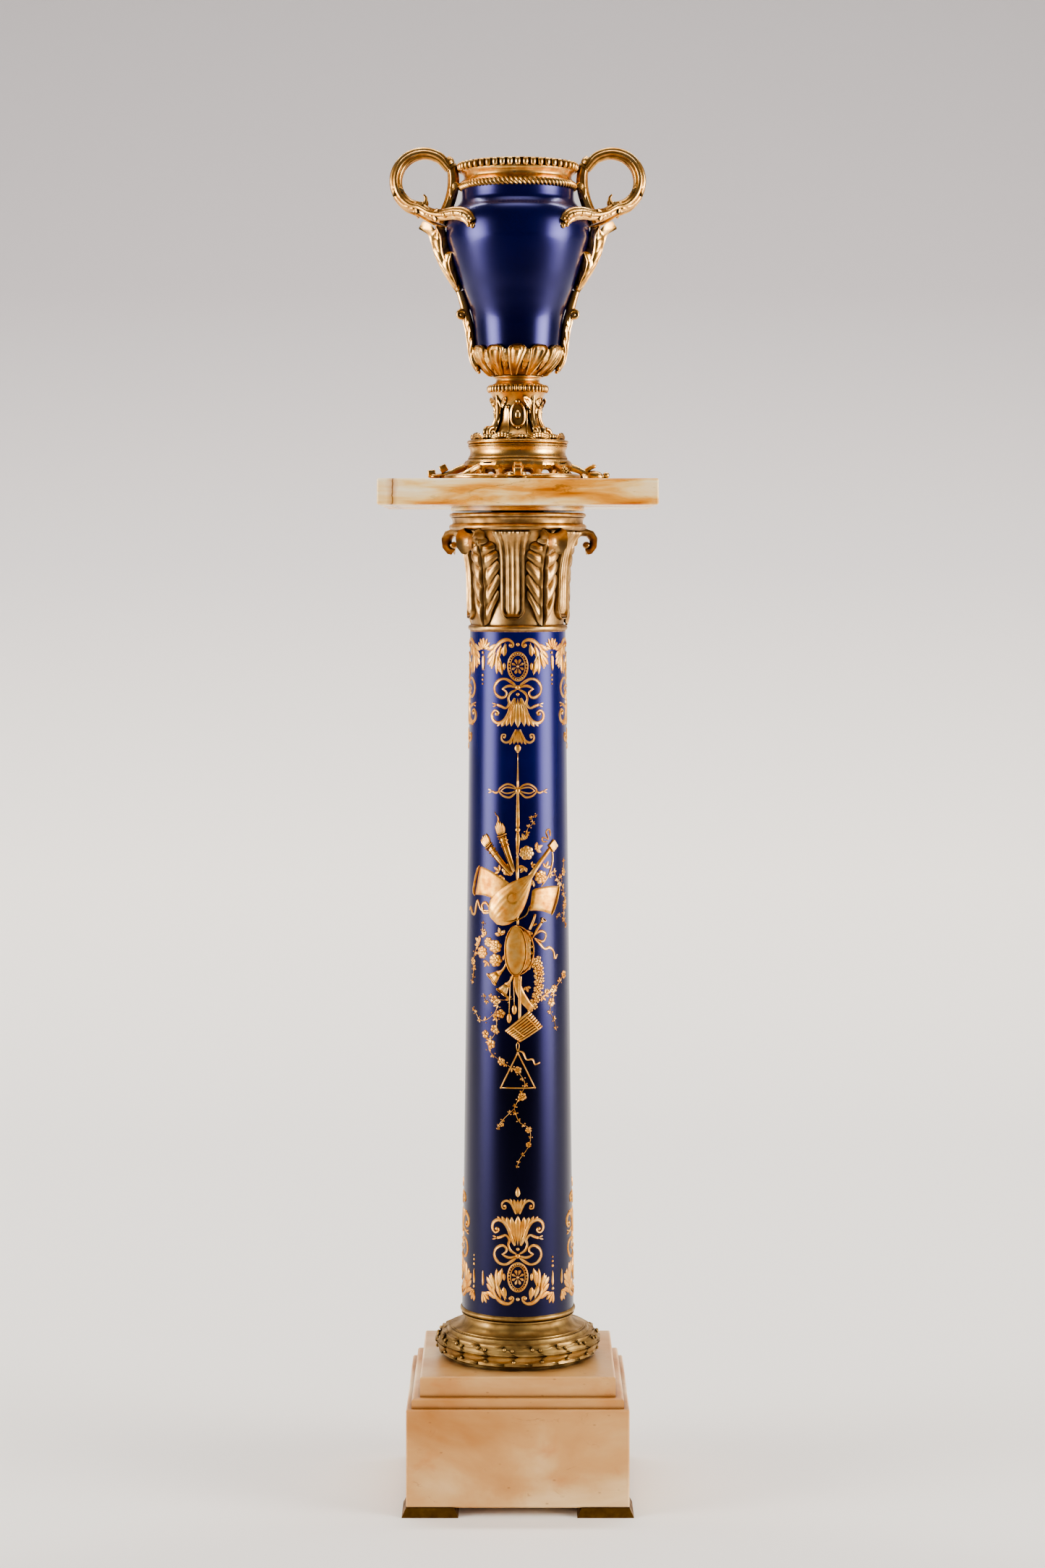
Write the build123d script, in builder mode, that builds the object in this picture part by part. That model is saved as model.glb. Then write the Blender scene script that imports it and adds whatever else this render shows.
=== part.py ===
from build123d import *
from math import cos, pi, radians, sin
import os

os.makedirs("parts", exist_ok=True)

# A two-handled porcelain amphora in gilt bronze mounts, standing on its own
# revolving column pedestal. Millimetres, +Z up, -Y is the front. The origin is
# the middle of the pedestal's footprint, on the floor.

# Clearances
seat_gap = 0.2  # between a casting and the porcelain it is fitted over
bore_gap = 0.15  # around the rods
pivot_gap = 0.05  # running fit of the turntable on its post
bearing_gap = 0.3  # free height between the fixed and the turning bearing faces

# Corner feet
foot_width = 65
foot_top_width = 55
foot_height = 10
foot_overhang = 5  # how far a foot stands out past the plinth

# Stone plinth
plinth_width = 256
plinth_height = 112
step_inset = 6
step_height = 11
step_round = 4
plinth_top_inset = 9.5
plinth_top_height = 23
plinth_top_round = 3
stone_edge = 1.5

# Laurel ring and the socket that holds the shaft
laurel_r = 97.5
laurel_height = 34
laurel_bulge = 13.5
socket_r = 68.5
scotia_height = 10
socket_ring_height = 14
socket_depth = 4

# Porcelain shaft
shaft_length = 800
shaft_bottom_r = 66
shaft_middle_r = 60.6
shaft_top_r = 56.5
shaft_middle_share = 0.54  # where along the shaft the middle radius is taken
shaft_wall = 8
gasket_height = 1

# Capital
astragal_r = 59
astragal_height = 7
bell_height = 111
bell_bottom_r = 55
bell_waist_r = 57.5
bell_top_r = 70
bell_wall = 5
leaf_count = 5
leaf_first_angle = -60
leaf_sweep = 46
leaf_thickness = 5
leaf_reach = 20  # how far a leaf's curled tip stands out past the bell's lip
leaf_tip_drop = 22
leaf_tip_width = 20
leaf_width = 42
abacus_r = 81.5
abacus_top_r = 80
abacus_groove_r = 77
abacus_height = 21
abacus_lip = 8

# Rod that clamps the pedestal together
tie_r = 6
tie_nut_width = 20
tie_nut_height = 9
tie_washer_r = 18
tie_washer_height = 3
tie_recess_r = 20

# Turntable
post_r = 10
post_flange_r = 24
post_flange_height = 6
hub_r = 31
hub_gap = 2  # visible gap between the capital and the turntable
hub_sleeve_r = 14
disc_r = 79
disc_height = 5
slab_width = 320
slab_height = 30

# Amphora foot
foot_ring_r = 62
foot_ring_wall = 10
foot_ring_height = 21
foot_ring_web = 5
arch_count = 12
arch_width = 20
arch_top = 12
scroll_reach = 109
scroll_width = 20
scroll_count = 4

# Drum, frieze and stem
drum_r = 63
drum_waist_r = 56.3
drum_top_r = 59.4
drum_height = 28
drum_lip = 7
drum_wall = 7
frieze_r = 57
frieze_height = 8
stem_bottom_r = 45
stem_waist_r = 28.5
stem_top_r = 33
stem_height = 56
stem_bore_r = 16
pearl_r = 37
pearl_height = 9
collet_bottom_r = 27.7
collet_waist_r = 25.4
collet_top_r = 29
collet_height = 11

# Porcelain vase, whose heights are counted from its underside
vase_wall = 6
vase_floor = 7
vase_foot_r = 30
vase_waist_r = 49
vase_waist_z = 28
vase_flank_r = 54
vase_flank_z = 66
vase_hip_r = 62.7
vase_hip_z = 90
vase_side_r = 72
vase_side_z = 115
vase_belly_r = 84.8
vase_belly_z = 163
vase_shoulder_r = 80
vase_shoulder_z = 188
vase_neck_r = 66.4
vase_neck_z = 203
vase_height = 218

# Gadrooned cup
cup_r = 51.5
cup_height = 34
cup_floor = 3

# Neck mounts, which share one bore
mouth_r = 61
rope_r = 69.5
rope_height = 6
collar_r = 67
collar_waist_r = 64.3
collar_height = 13
rim_r = 72.8
rim_height = 11

# Handles
ring_centre_x = 111
ring_r = 35  # centre line of a ring's strands
strand_r = 4.8
strand_splay = 10  # how far each strand has swung out when it reaches the bottom
stem_bar_r = 6.5
band_r = 7.5
stud_r = 2
leaf_half_depth = 13
bracket_half_depth = 8

# Rod that clamps the amphora together
rod_r = 5
rod_nut_width = 16
rod_nut_height = 7
rod_washer_r = 20
rod_washer_height = 2

# Levels, each one resting on the piece below it
plinth_z = foot_height
step_z = plinth_z + plinth_height
plinth_top_z = step_z + step_height
laurel_z = plinth_top_z + plinth_top_height
scotia_z = laurel_z + laurel_height
socket_z = scotia_z + scotia_height
socket_top_z = socket_z + socket_ring_height
lower_gasket_z = socket_top_z - socket_depth
shaft_z = lower_gasket_z + gasket_height
shaft_top_z = shaft_z + shaft_length
astragal_z = shaft_top_z + gasket_height
bell_z = astragal_z + astragal_height
abacus_z = bell_z + bell_height
abacus_top_z = abacus_z + abacus_height
disc_z = abacus_top_z + hub_gap
slab_z = disc_z + disc_height
slab_top_z = slab_z + slab_height
drum_z = slab_top_z + foot_ring_height
frieze_z = drum_z + drum_height
pearl_z = frieze_z + stem_height
collet_z = pearl_z + pearl_height
cup_z = collet_z + collet_height
vase_gasket_z = cup_z + cup_floor
vase_z = vase_gasket_z + gasket_height
vase_top_z = vase_z + vase_height
collar_z = vase_top_z + rope_height
rim_z = collar_z + collar_height
top_z = rim_z + rim_height
ring_centre_z = vase_top_z + 9

scroll_step = 360 / scroll_count
leaf_step = 360 / leaf_count


# A plane that stands on the vertical axis: x runs outwards at the angle, y upwards
def radial_plane(angle):
    turn = radians(angle)
    return Plane(origin=(0, 0, 0), x_dir=(cos(turn), sin(turn), 0), z_dir=(sin(turn), -cos(turn), 0))


# A plane that faces outwards at the angle: x runs sideways, y upwards
def facing_plane(angle):
    turn = radians(angle)
    return Plane(origin=(0, 0, 0), x_dir=(-sin(turn), cos(turn), 0), z_dir=(cos(turn), sin(turn), 0))


# --- Pedestal: feet and stone plinth ---

foot_offset = plinth_width / 2 + foot_overhang - foot_width / 2
foot_places = {"fl": (-1, -1), "fr": (1, -1), "bl": (-1, 1), "br": (1, 1)}
for corner, (side_x, side_y) in foot_places.items():
    middle = (side_x * foot_offset, side_y * foot_offset)
    with BuildPart() as foot:
        with BuildSketch(Plane.XY.offset(0)):
            with Locations(middle):
                Rectangle(foot_width, foot_width)
        with BuildSketch(Plane.XY.offset(foot_height)):
            with Locations(middle):
                Rectangle(foot_top_width, foot_top_width)
        loft()
    foot.part.label = f"foot_{corner}"
    export_step(foot.part, f"parts/foot_{corner}.step")

tie_pocket = tie_nut_height + tie_washer_height + 2
with BuildPart() as plinth_block:
    with BuildSketch(Plane.XY.offset(plinth_z)):
        Rectangle(plinth_width, plinth_width)
    extrude(amount=plinth_height)
    chamfer(plinth_block.edges(), length=stone_edge)
    with BuildSketch(Plane.XY.offset(plinth_z)):
        Circle(tie_r + bore_gap)
    extrude(amount=plinth_height, mode=Mode.SUBTRACT)
    with BuildSketch(Plane.XY.offset(plinth_z)):
        Circle(tie_recess_r)
    extrude(amount=tie_pocket, mode=Mode.SUBTRACT)
plinth_block.part.label = "plinth_block"
export_step(plinth_block.part, "parts/plinth_block.step")

step_width = plinth_width - 2 * step_inset
with BuildPart() as plinth_step:
    with BuildSketch(Plane.XY.offset(step_z)):
        Rectangle(step_width, step_width)
    extrude(amount=step_height)
    fillet(plinth_step.edges().group_by(Axis.Z)[-1], radius=min(step_round, step_height / 3))
    with BuildSketch(Plane.XY.offset(step_z)):
        Circle(tie_r + bore_gap)
    extrude(amount=step_height, mode=Mode.SUBTRACT)
plinth_step.part.label = "plinth_step"
export_step(plinth_step.part, "parts/plinth_step.step")

plinth_top_width = step_width - 2 * plinth_top_inset
with BuildPart() as plinth_top:
    with BuildSketch(Plane.XY.offset(plinth_top_z)):
        Rectangle(plinth_top_width, plinth_top_width)
    extrude(amount=plinth_top_height)
    fillet(plinth_top.edges().group_by(Axis.Z)[-1], radius=min(plinth_top_round, plinth_top_height / 4))
    with BuildSketch(Plane.XY.offset(plinth_top_z)):
        Circle(tie_r + bore_gap)
    extrude(amount=plinth_top_height, mode=Mode.SUBTRACT)
plinth_top.part.label = "plinth_top"
export_step(plinth_top.part, "parts/plinth_top.step")

# --- Pedestal: bronze base ---

laurel_edge_r = laurel_r - laurel_bulge
laurel_bore_r = laurel_edge_r - 26
with BuildPart() as laurel_ring:
    with BuildSketch(Plane.XZ):
        with BuildLine():
            Line((laurel_bore_r, laurel_z), (laurel_edge_r, laurel_z))
            ThreePointArc(
                (laurel_edge_r, laurel_z),
                (laurel_r, laurel_z + laurel_height / 2),
                (laurel_edge_r, scotia_z),
            )
            Line((laurel_edge_r, scotia_z), (laurel_bore_r, scotia_z))
            Line((laurel_bore_r, scotia_z), (laurel_bore_r, laurel_z))
        make_face()
    revolve(axis=Axis.Z)
laurel_ring.part.label = "laurel_ring"
export_step(laurel_ring.part, "parts/laurel_ring.step")

scotia_foot_r = laurel_edge_r - 3
scotia_neck_r = socket_r - 4
scotia_hollow_r = (scotia_foot_r + scotia_neck_r) / 2 - 1.2
bead_mid_z = socket_z + socket_ring_height / 2
with BuildPart() as base_socket:
    with BuildSketch(Plane.XZ):
        with BuildLine():
            Line((0, scotia_z), (scotia_foot_r, scotia_z))
            ThreePointArc(
                (scotia_foot_r, scotia_z),
                (scotia_hollow_r, scotia_z + scotia_height * 0.3),
                (scotia_neck_r, socket_z),
            )
            Line((scotia_neck_r, socket_z), (socket_r - 1.5, socket_z))
            ThreePointArc(
                (socket_r - 1.5, socket_z),
                (socket_r, (socket_z + bead_mid_z) / 2),
                (socket_r - 1.5, bead_mid_z),
            )
            ThreePointArc(
                (socket_r - 1.5, bead_mid_z),
                (socket_r, (bead_mid_z + socket_top_z) / 2),
                (socket_r - 1.5, socket_top_z),
            )
            Line((socket_r - 1.5, socket_top_z), (0, socket_top_z))
            Line((0, socket_top_z), (0, scotia_z))
        make_face()
    revolve(axis=Axis.Z)
    with BuildSketch(Plane.XY.offset(lower_gasket_z)):
        Circle(shaft_bottom_r + seat_gap)
    extrude(amount=socket_depth, mode=Mode.SUBTRACT)
    with BuildSketch(Plane.XY.offset(scotia_z)):
        Circle(tie_r + bore_gap)
    extrude(amount=lower_gasket_z - scotia_z, mode=Mode.SUBTRACT)
base_socket.part.label = "base_socket"
export_step(base_socket.part, "parts/base_socket.step")

with BuildPart() as lower_gasket:
    with BuildSketch(Plane.XY.offset(lower_gasket_z)):
        Circle(shaft_bottom_r)
        Circle(shaft_bottom_r - shaft_wall, mode=Mode.SUBTRACT)
    extrude(amount=gasket_height)
lower_gasket.part.label = "shaft_gasket_lower"
export_step(lower_gasket.part, "parts/shaft_gasket_lower.step")

# --- Pedestal: porcelain shaft ---

shaft_middle_z = shaft_z + shaft_length * shaft_middle_share
with BuildPart() as shaft:
    with BuildSketch(Plane.XZ):
        with BuildLine():
            ThreePointArc(
                (shaft_bottom_r, shaft_z),
                (shaft_middle_r, shaft_middle_z),
                (shaft_top_r, shaft_top_z),
            )
            Line((shaft_top_r, shaft_top_z), (shaft_top_r - shaft_wall, shaft_top_z))
            ThreePointArc(
                (shaft_top_r - shaft_wall, shaft_top_z),
                (shaft_middle_r - shaft_wall, shaft_middle_z),
                (shaft_bottom_r - shaft_wall, shaft_z),
            )
            Line((shaft_bottom_r - shaft_wall, shaft_z), (shaft_bottom_r, shaft_z))
        make_face()
    revolve(axis=Axis.Z)
shaft.part.label = "shaft"
export_step(shaft.part, "parts/shaft.step")

with BuildPart() as upper_gasket:
    with BuildSketch(Plane.XY.offset(shaft_top_z)):
        Circle(shaft_top_r)
        Circle(shaft_top_r - shaft_wall, mode=Mode.SUBTRACT)
    extrude(amount=gasket_height)
upper_gasket.part.label = "shaft_gasket_upper"
export_step(upper_gasket.part, "parts/shaft_gasket_upper.step")

# --- Pedestal: capital ---

astragal_edge_r = astragal_r - astragal_height / 2
with BuildPart() as astragal:
    with BuildSketch(Plane.XZ):
        with BuildLine():
            Line((bell_bottom_r - bell_wall, astragal_z), (astragal_edge_r, astragal_z))
            ThreePointArc(
                (astragal_edge_r, astragal_z),
                (astragal_r, astragal_z + astragal_height / 2),
                (astragal_edge_r, bell_z),
            )
            Line((astragal_edge_r, bell_z), (bell_bottom_r - bell_wall, bell_z))
            Line((bell_bottom_r - bell_wall, bell_z), (bell_bottom_r - bell_wall, astragal_z))
        make_face()
    revolve(axis=Axis.Z)
astragal.part.label = "astragal"
export_step(astragal.part, "parts/astragal.step")

bell_waist_z = bell_z + bell_height * 0.6
with BuildPart() as capital_bell:
    with BuildSketch(Plane.XZ):
        with BuildLine():
            ThreePointArc(
                (bell_bottom_r, bell_z),
                (bell_waist_r, bell_waist_z),
                (bell_top_r, abacus_z),
            )
            Line((bell_top_r, abacus_z), (bell_top_r - bell_wall, abacus_z))
            ThreePointArc(
                (bell_top_r - bell_wall, abacus_z),
                (bell_waist_r - bell_wall, bell_waist_z),
                (bell_bottom_r - bell_wall, bell_z),
            )
            Line((bell_bottom_r - bell_wall, bell_z), (bell_bottom_r, bell_z))
        make_face()
    revolve(axis=Axis.Z)
capital_bell.part.label = "capital_bell"
export_step(capital_bell.part, "parts/capital_bell.step")

# Solid shape of the bell, cut out of the back of every leaf
with BuildPart() as bell_envelope:
    with BuildSketch(Plane.XZ):
        with BuildLine():
            ThreePointArc(
                (bell_bottom_r + seat_gap, bell_z),
                (bell_waist_r + seat_gap, bell_waist_z),
                (bell_top_r + seat_gap, abacus_z),
            )
            Line((bell_top_r + seat_gap, abacus_z), (0, abacus_z))
            Line((0, abacus_z), (0, bell_z))
            Line((0, bell_z), (bell_bottom_r + seat_gap, bell_z))
        make_face()
    revolve(axis=Axis.Z)

leaf_top_z = abacus_z - 1
leaf_tip_r = bell_top_r + leaf_reach
leaf_tip_z = leaf_top_z - leaf_tip_drop
for index in range(leaf_count):
    leaf_angle = leaf_first_angle + index * leaf_step
    with BuildPart() as capital_leaf:
        with BuildSketch(radial_plane(leaf_angle - leaf_sweep / 2)):
            with BuildLine():
                ThreePointArc(
                    (bell_bottom_r + leaf_thickness, bell_z),
                    (bell_waist_r + leaf_thickness + 1, bell_waist_z),
                    (bell_top_r + 6, leaf_tip_z + 8),
                )
                Line((bell_top_r + 6, leaf_tip_z + 8), (leaf_tip_r - 6, leaf_tip_z))
                ThreePointArc(
                    (leaf_tip_r - 6, leaf_tip_z),
                    (leaf_tip_r, leaf_tip_z + leaf_tip_drop / 2),
                    (leaf_tip_r - 8, leaf_top_z),
                )
                Line((leaf_tip_r - 8, leaf_top_z), (bell_top_r - 2, leaf_top_z))
                Line((bell_top_r - 2, leaf_top_z), (bell_waist_r - 3, bell_waist_z))
                Line((bell_waist_r - 3, bell_waist_z), (bell_bottom_r - 3, bell_z))
                Line((bell_bottom_r - 3, bell_z), (bell_bottom_r + leaf_thickness, bell_z))
            make_face()
        revolve(axis=Axis.Z, revolution_arc=leaf_sweep)
        with BuildSketch(facing_plane(leaf_angle)):
            with BuildLine():
                Polyline(
                    (-leaf_width / 2, bell_z),
                    (-leaf_width / 2, bell_waist_z),
                    (-leaf_tip_width / 2, abacus_z),
                    (leaf_tip_width / 2, abacus_z),
                    (leaf_width / 2, bell_waist_z),
                    (leaf_width / 2, bell_z),
                    (-leaf_width / 2, bell_z),
                )
            make_face()
        extrude(amount=leaf_tip_r + 10, mode=Mode.INTERSECT)
        add(bell_envelope.part, mode=Mode.SUBTRACT)
    capital_leaf.part.label = f"capital_leaf_{index + 1}"
    export_step(capital_leaf.part, f"parts/capital_leaf_{index + 1}.step")

post_flange_z = abacus_top_z - post_flange_height
tie_nut_z = post_flange_z - tie_nut_height - 1
with BuildPart() as abacus:
    with BuildSketch(Plane.XZ):
        with BuildLine():
            Line((0, abacus_z), (abacus_r - 3, abacus_z))
            ThreePointArc(
                (abacus_r - 3, abacus_z),
                (abacus_r, abacus_z + abacus_lip / 2),
                (abacus_r - 3, abacus_z + abacus_lip),
            )
            Line((abacus_r - 3, abacus_z + abacus_lip), (abacus_groove_r, abacus_z + abacus_lip))
            Line((abacus_groove_r, abacus_z + abacus_lip), (abacus_groove_r, abacus_z + abacus_lip + 3))
            Line((abacus_groove_r, abacus_z + abacus_lip + 3), (abacus_top_r, abacus_z + abacus_lip + 3))
            Line((abacus_top_r, abacus_z + abacus_lip + 3), (abacus_top_r, abacus_top_z))
            Line((abacus_top_r, abacus_top_z), (0, abacus_top_z))
            Line((0, abacus_top_z), (0, abacus_z))
        make_face()
    revolve(axis=Axis.Z)
    with BuildSketch(Plane.XY.offset(abacus_z)):
        Circle(tie_r + bore_gap)
    extrude(amount=abacus_height, mode=Mode.SUBTRACT)
    with BuildSketch(Plane.XY.offset(tie_nut_z)):
        Circle(tie_nut_width * 0.7)
    extrude(amount=abacus_top_z - tie_nut_z, mode=Mode.SUBTRACT)
    with BuildSketch(Plane.XY.offset(post_flange_z)):
        Circle(post_flange_r + bore_gap)
    extrude(amount=post_flange_height, mode=Mode.SUBTRACT)
abacus.part.label = "capital_abacus"
export_step(abacus.part, "parts/capital_abacus.step")

# --- Pedestal: rod and nuts ---

tie_washer_z = plinth_z + tie_pocket - tie_washer_height
tie_bottom_z = plinth_z + 1
with BuildPart() as tie_rod:
    with BuildSketch(Plane.XY.offset(tie_bottom_z)):
        Circle(tie_r)
    extrude(amount=post_flange_z - 0.5 - tie_bottom_z)
    chamfer(tie_rod.edges(), length=tie_r / 6)
tie_rod.part.label = "tie_rod"
export_step(tie_rod.part, "parts/tie_rod.step")

with BuildPart() as tie_washer:
    with BuildSketch(Plane.XY.offset(tie_washer_z)):
        Circle(tie_washer_r)
        Circle(tie_r + bore_gap, mode=Mode.SUBTRACT)
    extrude(amount=tie_washer_height)
tie_washer.part.label = "tie_washer"
export_step(tie_washer.part, "parts/tie_washer.step")

tie_nuts = {"tie_nut_lower": tie_washer_z - tie_nut_height, "tie_nut_upper": tie_nut_z}
for nut_name, nut_z in tie_nuts.items():
    with BuildPart() as tie_nut:
        with BuildSketch(Plane.XY.offset(nut_z)):
            RegularPolygon(tie_nut_width / 2, 6, major_radius=False)
            Circle(tie_r + pivot_gap, mode=Mode.SUBTRACT)
        extrude(amount=tie_nut_height)
    tie_nut.part.label = nut_name
    export_step(tie_nut.part, f"parts/{nut_name}.step")

# --- Turntable ---

post_top_z = slab_z - 1.5
with BuildPart() as pivot_post:
    with BuildSketch(Plane.XY.offset(post_flange_z)):
        Circle(post_flange_r)
    extrude(amount=post_flange_height)
    with BuildSketch(Plane.XY.offset(abacus_top_z)):
        Circle(post_r)
    extrude(amount=post_top_z - abacus_top_z)
pivot_post.part.label = "pivot_post"
export_step(pivot_post.part, "parts/pivot_post.step")

with BuildPart() as hub:
    with BuildSketch(Plane.XY.offset(abacus_top_z + bearing_gap)):
        Circle(hub_r)
    extrude(amount=hub_gap - bearing_gap)
    with BuildSketch(Plane.XY.offset(disc_z)):
        Circle(hub_sleeve_r)
    extrude(amount=disc_height)
    with BuildSketch(Plane.XY.offset(abacus_top_z)):
        Circle(post_r + pivot_gap)
    extrude(amount=slab_z - abacus_top_z, mode=Mode.SUBTRACT)
hub.part.label = "turntable_hub"
export_step(hub.part, "parts/turntable_hub.step")

with BuildPart() as disc:
    with BuildSketch(Plane.XY.offset(disc_z)):
        Circle(disc_r)
        Circle(hub_sleeve_r + bore_gap, mode=Mode.SUBTRACT)
    extrude(amount=disc_height)
disc.part.label = "turntable_disc"
export_step(disc.part, "parts/turntable_disc.step")

with BuildPart() as slab:
    with BuildSketch(Plane.XY.offset(slab_z)):
        Rectangle(slab_width, slab_width)
    extrude(amount=slab_height)
    chamfer(slab.edges(), length=stone_edge)
slab.part.label = "turntable_slab"
export_step(slab.part, "parts/turntable_slab.step")

# --- Amphora: pierced scroll foot ---

ring_inner_r = foot_ring_r - foot_ring_wall
with BuildPart() as foot_ring:
    with BuildSketch(Plane.XY.offset(slab_top_z)):
        Circle(foot_ring_r)
        Circle(ring_inner_r, mode=Mode.SUBTRACT)
    extrude(amount=foot_ring_height)
    with BuildSketch(Plane.XY.offset(drum_z - foot_ring_web)):
        Circle(foot_ring_r)
        Circle(rod_r + bore_gap, mode=Mode.SUBTRACT)
    extrude(amount=foot_ring_web)
    for index in range(arch_count):
        arch_angle = (index + 0.5) * 360 / arch_count
        with BuildSketch(facing_plane(arch_angle)):
            with BuildLine():
                Line((-arch_width / 2, slab_top_z), (arch_width / 2, slab_top_z))
                ThreePointArc(
                    (arch_width / 2, slab_top_z),
                    (0, slab_top_z + arch_top),
                    (-arch_width / 2, slab_top_z),
                )
            make_face()
        extrude(amount=foot_ring_r + 5, mode=Mode.SUBTRACT)
foot_ring.part.label = "foot_ring"
export_step(foot_ring.part, "parts/foot_ring.step")

scroll_root_r = foot_ring_r + seat_gap
for index in range(scroll_count):
    with BuildPart() as foot_scroll:
        with BuildSketch(radial_plane(index * scroll_step)):
            with BuildLine():
                Spline(
                    (scroll_root_r, drum_z - 2),
                    (scroll_root_r + 14, drum_z - 8),
                    (scroll_reach - 16, slab_top_z + 8),
                    (scroll_reach - 5, slab_top_z + 14),
                    (scroll_reach, slab_top_z + 7),
                )
                Line((scroll_reach, slab_top_z + 7), (scroll_reach, slab_top_z))
                Line((scroll_reach, slab_top_z), (scroll_reach - 18, slab_top_z))
                ThreePointArc(
                    (scroll_reach - 18, slab_top_z),
                    (scroll_root_r + 16, slab_top_z + 6),
                    (scroll_root_r + 6, slab_top_z),
                )
                Line((scroll_root_r + 6, slab_top_z), (scroll_root_r, slab_top_z))
                Line((scroll_root_r, slab_top_z), (scroll_root_r, drum_z - 2))
            make_face()
        extrude(amount=scroll_width / 2, both=True)
        with BuildSketch(Plane.XY.offset(slab_top_z)):
            Circle(scroll_root_r)
        extrude(amount=foot_ring_height, mode=Mode.SUBTRACT)
    foot_scroll.part.label = f"foot_scroll_{index + 1}"
    export_step(foot_scroll.part, f"parts/foot_scroll_{index + 1}.step")

# --- Amphora: drum, frieze and stem ---

drum_top_z = frieze_z
with BuildPart() as drum:
    with BuildSketch(Plane.XZ):
        with BuildLine():
            Line((0, drum_z), (drum_r, drum_z))
            Line((drum_r, drum_z), (drum_r, drum_z + drum_lip / 2))
            Line((drum_r, drum_z + drum_lip / 2), (drum_waist_r + 2, drum_z + drum_lip))
            ThreePointArc(
                (drum_waist_r + 2, drum_z + drum_lip),
                (drum_waist_r, drum_z + drum_height * 0.45),
                (drum_waist_r + 1, drum_top_z - drum_lip),
            )
            Line((drum_waist_r + 1, drum_top_z - drum_lip), (drum_top_r, drum_top_z - drum_lip / 2))
            Line((drum_top_r, drum_top_z - drum_lip / 2), (drum_top_r, drum_top_z))
            Line((drum_top_r, drum_top_z), (0, drum_top_z))
            Line((0, drum_top_z), (0, drum_z))
        make_face()
    revolve(axis=Axis.Z)
    with BuildSketch(Plane.XY.offset(drum_z)):
        Circle(drum_waist_r - drum_wall)
    extrude(amount=drum_height - drum_wall, mode=Mode.SUBTRACT)
    with BuildSketch(Plane.XY.offset(drum_z)):
        Circle(rod_r + bore_gap)
    extrude(amount=drum_height, mode=Mode.SUBTRACT)
drum.part.label = "drum"
export_step(drum.part, "parts/drum.step")

frieze_bore_r = stem_bottom_r + 1
with BuildPart() as frieze:
    with BuildSketch(Plane.XY.offset(frieze_z)):
        Circle(frieze_r)
        Circle(frieze_bore_r, mode=Mode.SUBTRACT)
    extrude(amount=frieze_height)
    fillet(frieze.edges().group_by(Axis.Z)[-1].sort_by(SortBy.LENGTH)[-1], radius=frieze_height / 3)
frieze.part.label = "drum_frieze"
export_step(frieze.part, "parts/drum_frieze.step")

with BuildPart() as stem:
    with BuildSketch(Plane.XZ):
        with BuildLine():
            Line((stem_bore_r, frieze_z), (stem_bottom_r, frieze_z))
            Line((stem_bottom_r, frieze_z), (stem_bottom_r, frieze_z + 4))
            ThreePointArc(
                (stem_bottom_r, frieze_z + 4),
                (stem_waist_r, frieze_z + stem_height * 0.55),
                (stem_top_r, pearl_z),
            )
            Line((stem_top_r, pearl_z), (stem_bore_r, pearl_z))
            Line((stem_bore_r, pearl_z), (stem_bore_r, frieze_z))
        make_face()
    revolve(axis=Axis.Z)
stem.part.label = "stem"
export_step(stem.part, "parts/stem.step")

with BuildPart() as pearl_ring:
    with BuildSketch(Plane.XZ):
        with BuildLine():
            Line((rod_r + bore_gap, pearl_z), (stem_top_r, pearl_z))
            ThreePointArc(
                (stem_top_r, pearl_z),
                (pearl_r, pearl_z + pearl_height / 2),
                (stem_top_r, collet_z),
            )
            Line((stem_top_r, collet_z), (rod_r + bore_gap, collet_z))
            Line((rod_r + bore_gap, collet_z), (rod_r + bore_gap, pearl_z))
        make_face()
    revolve(axis=Axis.Z)
pearl_ring.part.label = "pearl_ring"
export_step(pearl_ring.part, "parts/pearl_ring.step")

with BuildPart() as collet:
    with BuildSketch(Plane.XZ):
        with BuildLine():
            Line((rod_r + bore_gap, collet_z), (collet_bottom_r, collet_z))
            ThreePointArc(
                (collet_bottom_r, collet_z),
                (collet_waist_r, collet_z + collet_height / 2),
                (collet_top_r, cup_z),
            )
            Line((collet_top_r, cup_z), (rod_r + bore_gap, cup_z))
            Line((rod_r + bore_gap, cup_z), (rod_r + bore_gap, collet_z))
        make_face()
    revolve(axis=Axis.Z)
collet.part.label = "stem_collet"
export_step(collet.part, "parts/stem_collet.step")

# --- Amphora: porcelain vase ---


# The vase's outline from its underside to its widest place, grown outwards by a distance
def vase_flank(growth):
    return [
        (vase_foot_r + growth, vase_z),
        (vase_waist_r + growth, vase_z + vase_waist_z),
        (vase_flank_r + growth, vase_z + vase_flank_z),
        (vase_hip_r + growth, vase_z + vase_hip_z),
        (vase_side_r + growth, vase_z + vase_side_z),
        (vase_belly_r + growth, vase_z + vase_belly_z),
    ]


# The same from the widest place to the foot of the neck
def vase_crown(growth):
    return [
        (vase_belly_r + growth, vase_z + vase_belly_z),
        (vase_shoulder_r + growth, vase_z + vase_shoulder_z),
        (vase_neck_r + growth, vase_z + vase_neck_z),
    ]


rising = ((1, 0.9), (0, 1))
closing = ((0, 1), (-1, 0.35))
with BuildPart() as vase_envelope:
    with BuildSketch(Plane.XZ):
        with BuildLine():
            Spline(*vase_flank(seat_gap), tangents=rising)
            Spline(*vase_crown(seat_gap), tangents=closing)
            Polyline(
                vase_crown(seat_gap)[-1],
                (vase_neck_r + seat_gap, vase_top_z),
                (0, vase_top_z),
                (0, vase_z),
                vase_flank(seat_gap)[0],
            )
        make_face()
    revolve(axis=Axis.Z)

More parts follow.
